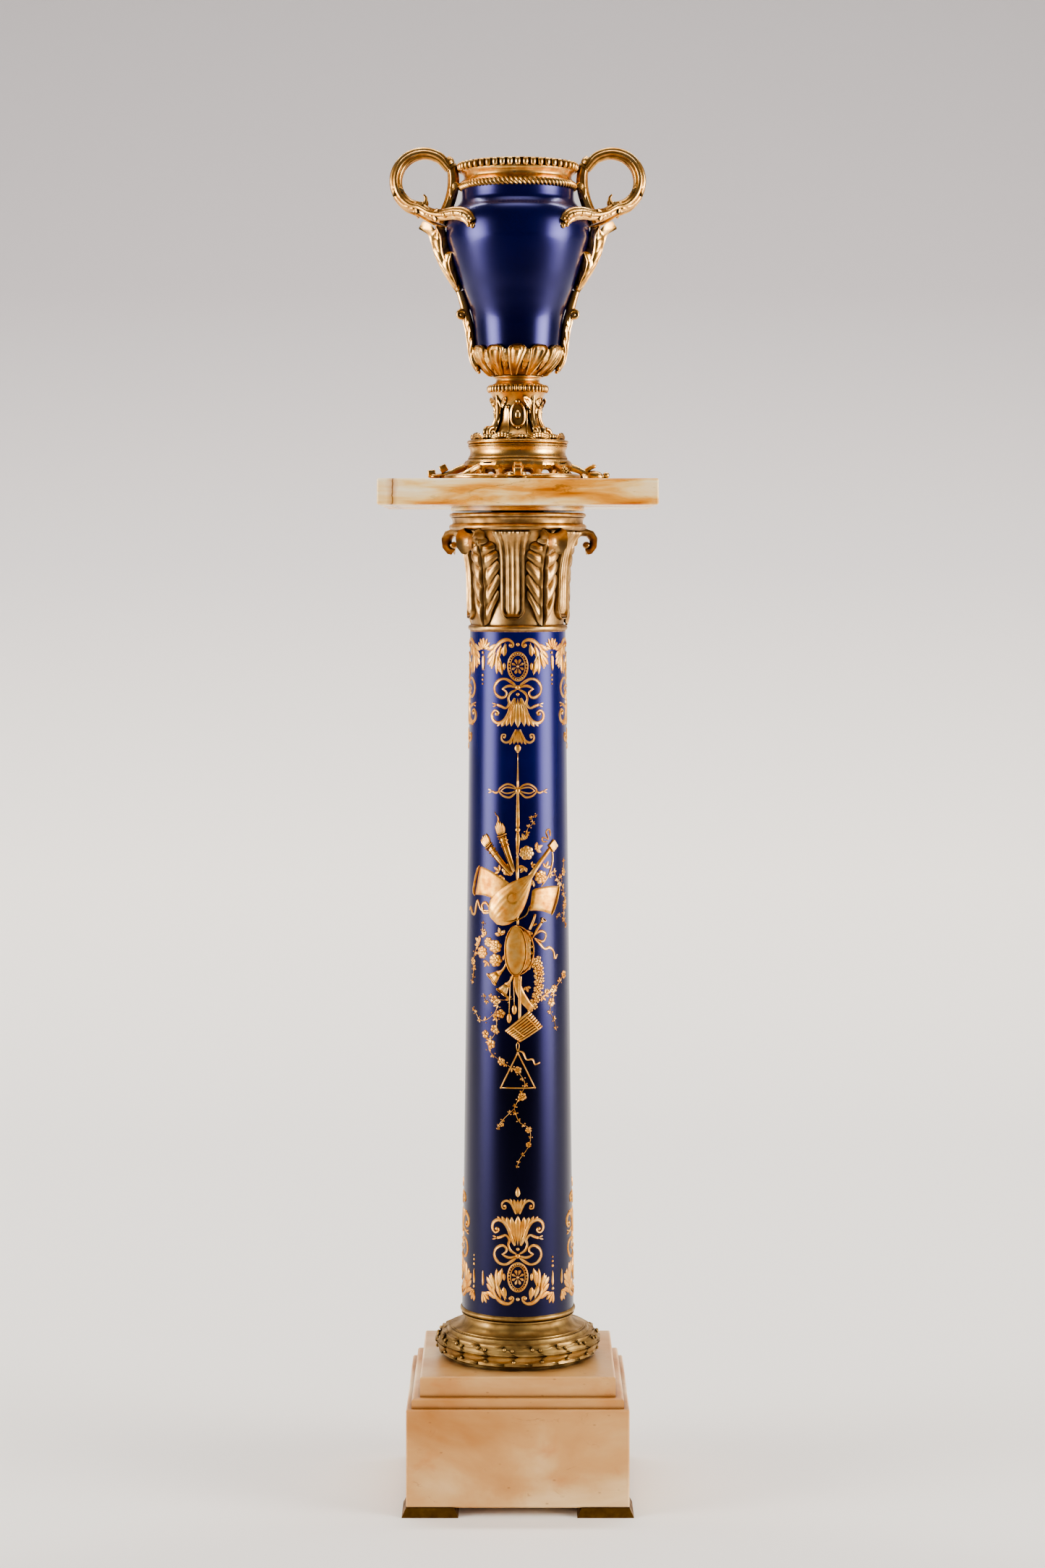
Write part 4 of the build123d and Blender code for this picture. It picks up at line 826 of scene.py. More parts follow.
# Pearl ring, collet and cup
pearlLow, pearlHigh, pearlR = low("pearl_ring"), high("pearl_ring"), wide("pearl_ring")
pearls = {"count": 42}
bm = turned(
    [(6, pearlLow), (pearlR - 4, pearlLow)] + bead(pearlR - 3.6, pearlLow, pearlLow + 1.8, 4)
    + [(pearlR - 4, pearlLow + 2.2), (pearlR - 4, pearlHigh - 2)] + bead(pearlR - 3.4, pearlHigh - 1.6,
        pearlHigh, 4) + [(6, pearlHigh)], 96,
)
for index in range(pearls["count"]):
    angle = index * fullTurn / pearls["count"]
    mergeInto(bm, ball(onRing(pearlR - 2.8, angle, (pearlLow + pearlHigh) / 2), (2.6, 2.6, 4.6), 2))
finishPiece("pearl_band", bm, "amphora", giltMaterial, ["pearl_ring"], 50)

colletLow, colletHigh = low("stem_collet"), high("stem_collet")
bm = turned(
    [(6, colletLow), (30.5, colletLow), (30, colletLow + 1.2), (27, colletLow + 2.6), (25.6, colletLow + 5),
     (25.6, colletLow + 6.4), (26.8, colletLow + 8.2)]
    + bead(28, colletLow + 8.4, colletHigh, 5) + [(6, colletHigh)], 96,
)
finishPiece("stem_neck", bm, "amphora", giltMaterial, ["stem_collet"])

cupLow, cupHigh, cupR = low("cup"), high("cup"), wide("cup")
cupTall = cupHigh - cupLow
cup = {"tongues": 12, "slant": -0.14}


def cupRadius(share):
    # the vase sits in the cup, so the wall follows it a little way off
    return 29 + (cupR - 29.5) * math.sin(min(1.0, share) * math.pi / 2) ** 0.82


bm = turned([(6, cupLow)] + [(cupRadius(z), cupLow + cupTall * z) for z in [i * 0.72 / 14 for i in range(15)]]
            + [(cupRadius(0.72) - 1.8, cupLow + cupTall * 0.72)]
            + [(cupRadius(z) - 2.0, cupLow + cupTall * z) for z in [0.6, 0.45, 0.3, 0.2, 0.12]] + [(6,
                cupLow + 3)], 96)
for index in range(cup["tongues"]):
    start = index * fullTurn / cup["tongues"]
    tongue = bmesh.new()
    bmesh.ops.create_grid(tongue, x_segments=22, y_segments=36, size=1)
    for vert in tongue.verts:
        u, v = vert.co.x, (vert.co.y + 1) / 2
        crown = math.sqrt(max(0.0, 1 - max(0.0, (v - 0.8) / 0.2) ** 2))
        half = (3.2 + 8.2 * min(1.0, v / 0.8) ** 0.9) * max(0.04, crown)
        share = 0.04 + v
        reach = abs(u)
        edge = max(reach, (v - 0.8) / 0.2)
        border = 2.3 * math.exp(-(((edge - 0.84) / 0.13) ** 2))
        second = 1.9 * math.exp(-(((edge - 0.38) / 0.13) ** 2)) * min(1.0, max(0.0, (v - 0.2) / 0.2))
        skirt = -2.2 * max(0.0, (edge - 0.93) / 0.07)
        radius = cupRadius(share) + 1.2 + border + second + skirt + 0.8 * v
        angle = start + cup["slant"] * (1 - v) ** 1.3 + u * half / cupRadius(share)
        vert.co = onRing(radius, angle, cupLow + cupTall * share) * mm
    bmesh.ops.solidify(tongue, geom=tongue.faces, thickness=1.6 * mm)
    bmesh.ops.recalc_face_normals(tongue, faces=tongue.faces)
    mergeInto(bm, tongue)
    between = start + math.pi / cup["tongues"]
    leafLine = [onRing(cupRadius(s) + k, between + cup["slant"] * (1 - s) ** 1.3, cupLow + cupTall * s) for s,
                k in ((0.16, 0.8), (0.4, 2.0), (0.62, 2.2), (0.86, 1.8))]
    outward = Vector((-math.sin(between), math.cos(between), 0))
    mergeInto(bm, leafBlade(leafLine, outward, {"lobes": 3, "columns": 8, "notch": 0.4, "rib": 0.7,
                                                "vein": 0.6, "cup": 0, "thickness": 1.4, "widths": [2.2, 4.2,
                                                    4.6, 2.4]}))
    for s in (0.22, 0.3, 0.4):
        mergeInto(bm, ball(onRing(cupRadius(s) + 2.6, between + cup["slant"] * (1 - s) ** 1.3,
                                  cupLow + cupTall * s), 1.3, 1))
finishPiece("gadroon_cup", bm, "amphora", giltMaterial, ["cup"], 60)
print("foot, stem and cup ready")

# Neck rings
mouthR = 61.0
ropeLow, ropeHigh, ropeR = low("rope_ring"), high("rope_ring"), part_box("rope_ring")[1].y / mm
rope = {"strands": 80, "share": 0.5, "half": 5.0}
bm = bmesh.new()
bmesh.ops.create_grid(bm, x_segments=rope["strands"] * 8, y_segments=24, size=1)
ropeHalf = rope["half"]
ropeMid = (ropeLow + ropeHigh) / 2 - 0.8
for vert in bm.verts:
    turn, lean = (vert.co.x + 1) * math.pi, vert.co.y * math.pi
    twist = abs(math.cos(rope["strands"] * turn / 2 + lean * 1.5))
    reach = ropeHalf * (rope["share"] + (1 - rope["share"]) * twist**0.85)
    vert.co = onRing(ropeR - ropeHalf + 1.6 + reach * math.cos(lean), turn,
                     ropeMid + reach * math.sin(lean)) * mm
bmesh.ops.remove_doubles(bm, verts=bm.verts, dist=1e-5)
bmesh.ops.recalc_face_normals(bm, faces=bm.faces)
mergeInto(bm, turned([(mouthR, ropeLow), (ropeR - 4, ropeLow), (ropeR - 4, ropeHigh), (mouthR, ropeHigh)],
                     96))
finishPiece("rope_band", bm, "amphora", giltMaterial, ["rope_ring"], 60)

collarLow, collarHigh, collarR = low("collar"), high("collar"), wide("collar")
bm = turned(
    [(mouthR, collarLow), (collarR, collarLow), (collarR, collarLow + 1.4)]
    + [(collarR - 3.4 * math.sin(t), collarLow + 1.4 + (collarHigh - collarLow - 2.6) * k) for t, k in
       [(math.pi * i / 12, i / 12) for i in range(1, 12)]]
    + [(collarR, collarHigh - 1.2), (collarR + 0.6, collarHigh), (mouthR, collarHigh)], 128,
)
finishPiece("neck_collar", bm, "amphora", giltMaterial, ["collar"])

rimLow, rimHigh, rimR = low("bead_rim"), high("bead_rim"), wide("bead_rim")
rim = {"eggs": 48}
bm = turned(
    [(mouthR, rimLow), (rimR - 5, rimLow), (rimR - 4.6, rimLow + 1.2), (rimR - 6.6, rimLow + 3),
     (rimR - 6.6, rimHigh - 2)]
    + bead(rimR - 6.4, rimHigh - 2, rimHigh, 5) + [(mouthR + 1, rimHigh), (mouthR, rimHigh - 1)], 144,
)
for index in range(rim["eggs"]):
    angle = index * fullTurn / rim["eggs"]
    egg = ball((rimR - 3.4, 0, (rimLow + rimHigh) / 2 + 0.2), (3.4, 3.7, 5.4), 2)
    mergeInto(bm, egg, turnZ(angle))
finishPiece("egg_rim", bm, "amphora", giltMaterial, ["bead_rim"], 50)
print("neck ready")

# Handles
handleShape = {"ringX": 111, "ringZ": 1543.4, "ringR": 33.4}
mirrorX = Matrix.Scale(-1, 4, (1, 0, 0))
depthAxis = Vector((0, 1, 0))  # the handles are drawn in the plane across it


def onHandleRing(degrees, y, grow=0.0):
    turn = math.radians(degrees)
    reach = handleShape["ringR"] + grow
    return Vector((handleShape["ringX"] + reach * math.cos(turn), y,
                   handleShape["ringZ"] + reach * math.sin(turn)))


def handleMesh():
    bm = bmesh.new()
    stem = [(91, 0, 1493.5), (86.5, 0, 1505), (80.5, 0, 1520), (77, 0, 1534), (76.2, 0, 1547), (78, 0, 1558),
            (83.5, 0, 1567.5)]
    mergeInto(bm, reededRod(stem, [6.2, 6.5, 6.4, 6.6, 6.6, 6.2, 5.2], depthAxis, 7, 0.16, 60, 28))
    # a tie band where the two strands leave the stem
    tie = [(80.6, 0, 1562.5), (83.2, 0, 1566), (86.2, 0, 1569.2)]
    mergeInto(bm, reededRod(tie, [7.4, 8.4, 7.2], depthAxis, 0, 0, 8, 20))
    mergeInto(bm, reededRod([(78.4, 0, 1559), (80, 0, 1561.4)], [7.6, 7.6], depthAxis, 0, 0, 3, 20))
    # a short leaf at the front and one at the back lead the eye to the rope moulding
    for turn in (-1, 1):
        perch = [(80, turn * 5.6, 1524), (77.5, turn * 7, 1532), (74, turn * 7.6, 1537.5), (69.5, turn * 8.4,
            1539)]
        mergeInto(bm, leafBlade(perch, Vector((-turn, 0, -turn * 0.4)), {"lobes": 2, "columns": 8,
            "notch": 0.35, "rib": 0.9, "vein": 0.7, "cup": -1.0, "thickness": 2.2, "widths": [3, 4.6, 4.4,
                2.0]}))
        # the strand runs over the top, down the outside and back under to the shoulder of the vase
        strand = [onHandleRing(a, turn * y) for a, y in ((152, 3.2), (122, 4), (92, 5), (62, 6), (32, 7.4),
            (2, 9), (-28, 11), (-56, 14), (-82, 19))]
        strand += [Vector((103, turn * 27.5, 1503)), Vector((88.5, turn * 39.5, 1500)),
                   Vector((74, turn * 51.5, 1500.5)), Vector((61.5, turn * 61.5, 1497)),
                   Vector((53, turn * 66, 1488))]
        sizes = [4.8, 5.6, 6.0, 6.2, 6.3, 6.4, 6.4, 6.3, 6.0, 5.8, 6.0, 6.8, 7.4, 5.6]
        mergeInto(bm, reededRod(strand, sizes, depthAxis, 4, 0.36, 190, 32))
        # leaf sheaths wrapped round the strand, with free tips
        for start, end, tipLift in ((0.355, 0.46, 3.6), (0.52, 0.63, 4.4), (0.66, 0.75, 3.4)):
            for flip in (-1, 1):
                sheath = []
                for step in range(5):
                    t = start + (end - start) * step / 4
                    spot, ahead, across, out = lineFrame(strand, t, depthAxis)
                    lift = 4.4 + tipLift * (step / 4) ** 3
                    sheath.append(spot + (out * 0.72 * flip + across * turn * 0.5).normalized() * lift)
                mid = lineFrame(strand, (start + end) / 2, depthAxis)
                mergeInto(bm, leafBlade(sheath, mid[2] * flip - mid[3] * 0.6 * turn,
                                        {"lobes": 3, "columns": 8, "notch": 0.4, "rib": 0.8, "vein": 0.7,
                                         "cup": -1.4, "thickness": 1.6, "widths": [2.6, 4.4, 4.4, 3.2, 0.8]}))
        # the claw: scalloped lobes that clasp the shoulder
        for t, width in ((0.80, 6.6), (0.86, 7.6), (0.92, 8.2), (0.97, 7.0)):
            spot, ahead, across, out = lineFrame(strand, t, depthAxis)
            for flip in (-1, 1):
                lobe = spot + across * flip * width * 0.62 + out * (1.0 if flip > 0 else -0.4)
                mergeInto(bm, ball(lobe, (4.6, 4.0, 4.2), 2))
        end = strand[-1]
        for flip in (-1, 0, 1):
            mergeInto(bm, ball(end + Vector((flip * 4.2, turn * (1.2 - abs(flip)), -3.2 + abs(flip) * 1.6)),
                               (3.0, 2.8, 3.8), 2))
        # a tendril that stands up inside the loop
        tendril = [onHandleRing(-86, turn * 19, 2), onHandleRing(-92, turn * 19, -4), onHandleRing(-97,
            turn * 20, -11), onHandleRing(-90, turn * 21, -16)]
        mergeInto(bm, reededRod(tendril, [3.0, 2.6, 1.9, 0.9], depthAxis, 3, 0.2, 18, 10))
    return bm


def handleLeafMesh():
    bm = bmesh.new()
    core = [(68.5, 0, 1414.5), (74, 0, 1426), (82, 0, 1444), (89, 0, 1463), (91.5, 0, 1478), (91, 0, 1490)]
    mergeInto(bm, reededRod(core, [4.0, 6.0, 7.6, 8.2, 7.6, 6.4], depthAxis, 5, 0.12, 40, 20, 0.8))
    outside = [(70.5, 0, 1414), (77.5, 0, 1424), (88, 0, 1441), (96.5, 0, 1459), (100.5, 0, 1473),
               (105, 0, 1484), (116, 0, 1491)]
    mergeInto(bm, leafBlade(outside, depthAxis, {"lobes": 4, "columns": 22, "notch": 0.26, "sweep": 0.2,
                                                 "rib": 2.2, "vein": 1.1, "cup": -7.0, "thickness": 1.8,
                                                 "widths": [3.5, 8, 11.5, 12.5, 11, 7, 0.8]}))
    for turn in (-1, 1):
        # a pointed leaf on the front and on the back, and a shorter one that laps it
        wing = [(72, turn * 6, 1420), (79, turn * 9.4, 1435), (86, turn * 11, 1450), (90, turn * 11.4, 1466),
                (91, turn * 11.4, 1479), (96, turn * 13.4, 1490)]
        mergeInto(bm, leafBlade(wing, Vector((-turn, 0, 0)), {"lobes": 4, "columns": 22, "notch": 0.34,
            "sweep": 0.26, "rib": 1.6, "vein": 1.2, "cup": -4.2, "thickness": 1.6, "widths": [4, 8.4, 10.6,
                10, 8, 1]}))
        lower = [(71, turn * 7, 1417.5), (75, turn * 11, 1428), (80, turn * 14, 1440), (81, turn * 16, 1451),
                 (77.5, turn * 18.4, 1459)]
        mergeInto(bm, leafBlade(lower, Vector((-turn, 0, 0.3 * turn)), {"lobes": 3, "columns": 16,
            "notch": 0.32, "sweep": 0.24, "rib": 1.3, "vein": 0.9, "cup": -3.0, "thickness": 1.5,
            "widths": [3, 6.4, 7.6, 6, 0.8]}))
    inside = [(84, 0, 1464), (82, 0, 1475), (79.6, 0, 1483), (76.5, 0, 1489.5)]
    mergeInto(bm, leafBlade(inside, depthAxis, {"lobes": 2, "columns": 14, "notch": 0.2, "sweep": 0.2,
                                                "rib": 0.9, "vein": 0.5, "cup": 2.4, "thickness": 1.6,
                                                "widths": [8, 8.6, 6.4, 0.8]}))
    mergeInto(bm, ball((70.2, 0, 1417.2), (4.4, 5.6, 4.2)))
    for turn in (-1, 1):
        mergeInto(bm, ball((70.8, turn * 5.2, 1419.6), (3.4, 3.4, 3.4)))
    return bm


def handleBracketMesh():
    bm = bmesh.new()
    bar = [(68.5, 0, 1413.5), (65.4, 0, 1404), (62.6, 0, 1394), (62, 0, 1385)]
    mergeInto(bm, reededRod(bar, [4.4, 4.8, 5.2, 5.2], depthAxis, 3, 0.1, 24, 18, 1.05))
    volute = [(66.8 + x, 0, 1385.6 + z) for x, z, _ in spiral((0, 0), 5.4, math.radians(150), -1.3, 0, 14,
        0.82)]
    for side in (-1, 1):
        curl = [(x, side * 3.6, z) for x, _, z in volute]
        mergeInto(bm, reededRod(curl, [2.5, 2.5, 2.4, 2.3, 2.1, 1.8, 1.4], depthAxis, 0, 0, 40, 10))
    mergeInto(bm, ball((66.6, 0, 1385.4), (3.4, 6.6, 3.4)))
    spine = [(60.6, 0, 1388), (58.4, 0, 1378), (55.6, 0, 1362), (53.8, 0, 1346), (52.2, 0, 1332),
             (46.5, 0, 1320)]
    mergeInto(bm, reededRod(spine, [4.4, 5.0, 5.0, 4.8, 4.2, 3.0], depthAxis, 5, 0.14, 36, 18, 1.0))
    falling = [(46, 0, 1320.5), (52.2, 0, 1330.5), (55, 0, 1343), (56.8, 0, 1357), (59, 0, 1371),
               (62, 0, 1381.5)]
    mergeInto(bm, leafBlade([(x + 2.4, y, z) for x, y, z in falling], depthAxis, {"lobes": 4, "columns": 18,
        "notch": 0.3, "sweep": 0.26, "rib": 1.6, "vein": 1.0, "cup": -4.2, "thickness": 1.5,
        "widths": [2.6, 6.0, 7.4, 7.0, 6.4, 3.0]}))
    for y, z, size in ((0, 1320, 2.9), (-4.6, 1322.5, 2.5), (4.6, 1322.5, 2.5), (-2.4, 1317.8, 2.2),
                       (2.4, 1317.8, 2.2)):
        mergeInto(bm, ball((47 + (z - 1320) * 0.5, y, z), size, 2))
    return bm


for sideName, flip in (("left", mirrorX), ("right", Matrix.Identity(4))):
    for pieceName, source, node in (
        ("loop_handle", handleMesh, "handle"), ("handle_calyx", handleLeafMesh, "handle_leaf"),
        ("handle_bracket_leaf", handleBracketMesh, "handle_bracket"),
    ):
        bm = bmesh.new()
        mergeInto(bm, source(), flip)
        finishPiece(f"{pieceName}_{sideName}", bm, "amphora", giltMaterial,
                    [f"{node}_{sideName}"], 55)
print("handles ready")

# Porcelain
shaftShape = {"low": 211, "high": 1011, "radii": (66.0, 60.6, 56.5), "middleShare": 0.54, "wall": 8}


def shaftR(z):
    # one gentle curve through the foot, middle and top radii
    t = (z - shaftShape["low"]) / (shaftShape["high"] - shaftShape["low"])
    m = shaftShape["middleShare"]
    foot, middle, top = shaftShape["radii"]
    return foot * (t - m) * (t - 1) / m + middle * t * (t - 1) / (m * (m - 1)) + top * t * (t - m) / (1 - m)


heights = [shaftShape["low"] + i * 16 for i in range(51)]
bm = turned([(shaftR(z), z) for z in heights] + [(shaftR(z) - shaftShape["wall"], z)
                                                 for z in reversed(heights)], 144)
finishPiece("cobalt_shaft", bm, "column", shaftGlaze, ["shaft"])

vaseFoot = low("vase_lower")
vaseShape = {
    "line": [(30, 0), (41.5, 9), (49, 27), (53.4, 63), (62, 90), (72.4, 117), (82.2, 148), (84.8, 163),
             (83.6, 178),
             (78.6, 190), (71, 197.5), (67.2, 203), (66.4, 209), (66.4, 218)],
    "wall": 6, "rows": 110,
}
outside = [smoothLine([(r, 0, z) for r, z in vaseShape["line"]], i / vaseShape["rows"])
           for i in range(vaseShape["rows"] + 1)]
outside = [(spot.x, spot.z + vaseFoot) for spot in outside]
inside = [(r - vaseShape["wall"], z) for r, z in reversed(outside) if z > vaseFoot + 9]
bm = turned([(6.5, vaseFoot)] + outside + inside + [(6.5, vaseFoot + 7)], 144)
vaseBody = finishPiece("cobalt_vase", bm, "amphora", vaseGlaze,
                       ["vase_lower", "vase_upper"])
vaseBody.data.materials.append(whiteGlaze)
for face in vaseBody.data.polygons:
    spot = face.center / mm
    inward = face.normal.x * spot.x + face.normal.y * spot.y < 0
    if inward or (spot.z > vaseFoot + 6 and spot.xy.length < 45 and face.normal.z > 0.5):
        face.material_index = 1


# Drawn flat, in millimetres round the shaft from its front and up from the floor, then wrapped on to it

gilding = bmesh.new()


def relief(columns, rows, place):
    # a raised patch: place(u from -1 to 1, v from 0 to 1) gives its spot on the flat drawing and its height
    part = bmesh.new()
    bmesh.ops.create_grid(part, x_segments=columns, y_segments=rows, size=1)
    for vert in part.verts:
        vert.co = Vector(place(vert.co.x, (vert.co.y + 1) / 2)) * mm
    part.normal_update()
    spread = sum((f.normal.z * f.calc_area() for f in part.faces), 0.0)
    if spread < 0:
        bmesh.ops.reverse_faces(part, faces=part.faces)
    return part


def stroke(points, widths, tall=0.9, groove=0.0, columns=4, density=1.1):
    # a ribbon or stem along a smooth line, rounded or with a groove down its middle
    line = [(x, y, 0) for x, y in points]
    length = sum((Vector(b) - Vector(a)).length for a, b in zip(line, line[1:]))
    rows = max(6, int(length / density / (1 + max(widths) * 0.12)))
    up = Vector((0, 0, 1))

    def place(u, v):
        spot, ahead = smoothLine(line, v), smoothLine(line, v + 0.01) - smoothLine(line, v - 0.01)
        across = ahead.cross(up).normalized()
        crown = math.sqrt(max(0.0, 1 - u * u))
        ends = min(1.0, 9 * min(v, 1 - v) + 0.1)
        height = tall * (crown - groove * math.exp(-((u / 0.32) ** 2))) * ends
        spot = spot + across * u * evenValue(widths, v) / 2
        return spot.x, spot.y, height - 0.25 * (abs(u) > 0.99)

    return relief(columns, rows, place)


def petal(start, end, width, tall=0.9, bias=0.62, vein=0.25):
    # a teardrop, widest near its far end
    start, end = Vector((*start, 0)), Vector((*end, 0))
    ahead = end - start
    across = Vector((ahead.y, -ahead.x, 0)).normalized()

    def place(u, v):
        half = width / 2 * math.sin(math.pi * v ** (math.log(0.5) / math.log(bias))) ** 0.75 if 0 < v < 1 else 0.0
        spot = start + ahead * v + across * u * half
        height = tall * math.sqrt(max(0.0, 1 - u * u)) * min(1.0, 5 * min(v, 1 - v) + 0.15)
        return spot.x, spot.y, height * (1 - vein * math.exp(-((u / 0.3) ** 2))) - 0.2 * (abs(u) > 0.99)

    return relief(4, 7, place)


def dome(centre, rx, ry=None, tall=1.0, rounds=1):
    part = bmesh.new()
    bmesh.ops.create_icosphere(part, subdivisions=rounds, radius=1)
    scale = Matrix.Diagonal((rx, ry or rx, tall, 1))
    bmesh.ops.transform(part, matrix=Matrix.Scale(mm, 4) @ Matrix.Translation((*centre, 0)) @ scale,
                        verts=part.verts)
    return part


def spun(centre, reach, angle):
    return centre[0] + reach * math.cos(angle), centre[1] + reach * math.sin(angle)


def flower(centre, radius, petals=5, turn=0.3):
    parts = [petal(spun(centre, radius * 0.15, a), spun(centre, radius, a), radius * 0.95, 0.9, 0.6)
             for a in [turn + i * fullTurn / petals for i in range(petals)]]
    return parts + [dome(centre, radius * 0.24, None, 1.1)]


def rose(centre, radius, turn=0.0):
    parts = []
    for ring, (reach, size, count) in enumerate(((0.68, 0.46, 7), (0.36, 0.4, 5), (0.0, 0.3, 1))):
        for i in range(count):
            spot = spun(centre, radius * reach, turn + ring * 0.6 + i * fullTurn / count)
            parts.append(dome(spot, radius * size, radius * size * 0.86, 0.9 + 0.45 * ring, 2))
    return parts


def spray(centre, angle, size, leaves=3):
    # a cluster of small leaves from one point
    fan = [angle + (i - (leaves - 1) / 2) * 0.95 for i in range(leaves)]
    return [petal(centre, spun(centre, size * (1 if abs(a - angle) < 0.1 else 0.82), a), size * 0.5, 0.8,
                  0.55, 0.5) for a in fan]


def vine(points, leafSize, every=7.0, start=1):
    # a thin stem with leaves and buds on alternate sides
    parts = [stroke(points, [0.9, 0.7, 0.5], 0.6, density=2.0)]
    line = [(x, y, 0) for x, y in points]
    length = sum((Vector(b) - Vector(a)).length for a, b in zip(line, line[1:]))
    count = max(2, int(length / every))
    for i in range(count):
        t = (i + 0.5) / count
        spot, ahead = smoothLine(line, t), smoothLine(line, t + 0.01) - smoothLine(line, t - 0.01)
        side = start if i % 2 else -start
        heading = math.atan2(ahead.y, ahead.x) + side
        size = leafSize * (1 - 0.35 * t)
        parts += spray((spot.x, spot.y), heading, size, 3 if i % 3 == 0 else 2)
        parts.append(dome(spun((spot.x, spot.y), size * 0.6, heading - side * 2.0), 0.95, None, 0.9))
    return parts


def mirrored(parts):
    twins = []
    for part in parts:
        twin = part.copy()
        bmesh.ops.scale(twin, vec=(-1, 1, 1), verts=twin.verts)
        bmesh.ops.reverse_faces(twin, faces=twin.faces)
        twins.append(twin)
    return parts + twins


def wrapOn(parts, around, z, flip=1):
    # places flat parts on the shaft, upside down where flip is -1
    for part in parts:
        for vert in part.verts:
            spot = vert.co / mm
            height = z + spot.y * flip
            turn = around - math.pi / 2 + spot.x / shaftR(z)
            vert.co = onRing(shaftR(height) + spot.z, turn, height) * mm
        if flip < 0:
            bmesh.ops.reverse_faces(part, faces=part.faces)
        mergeInto(gilding, part)


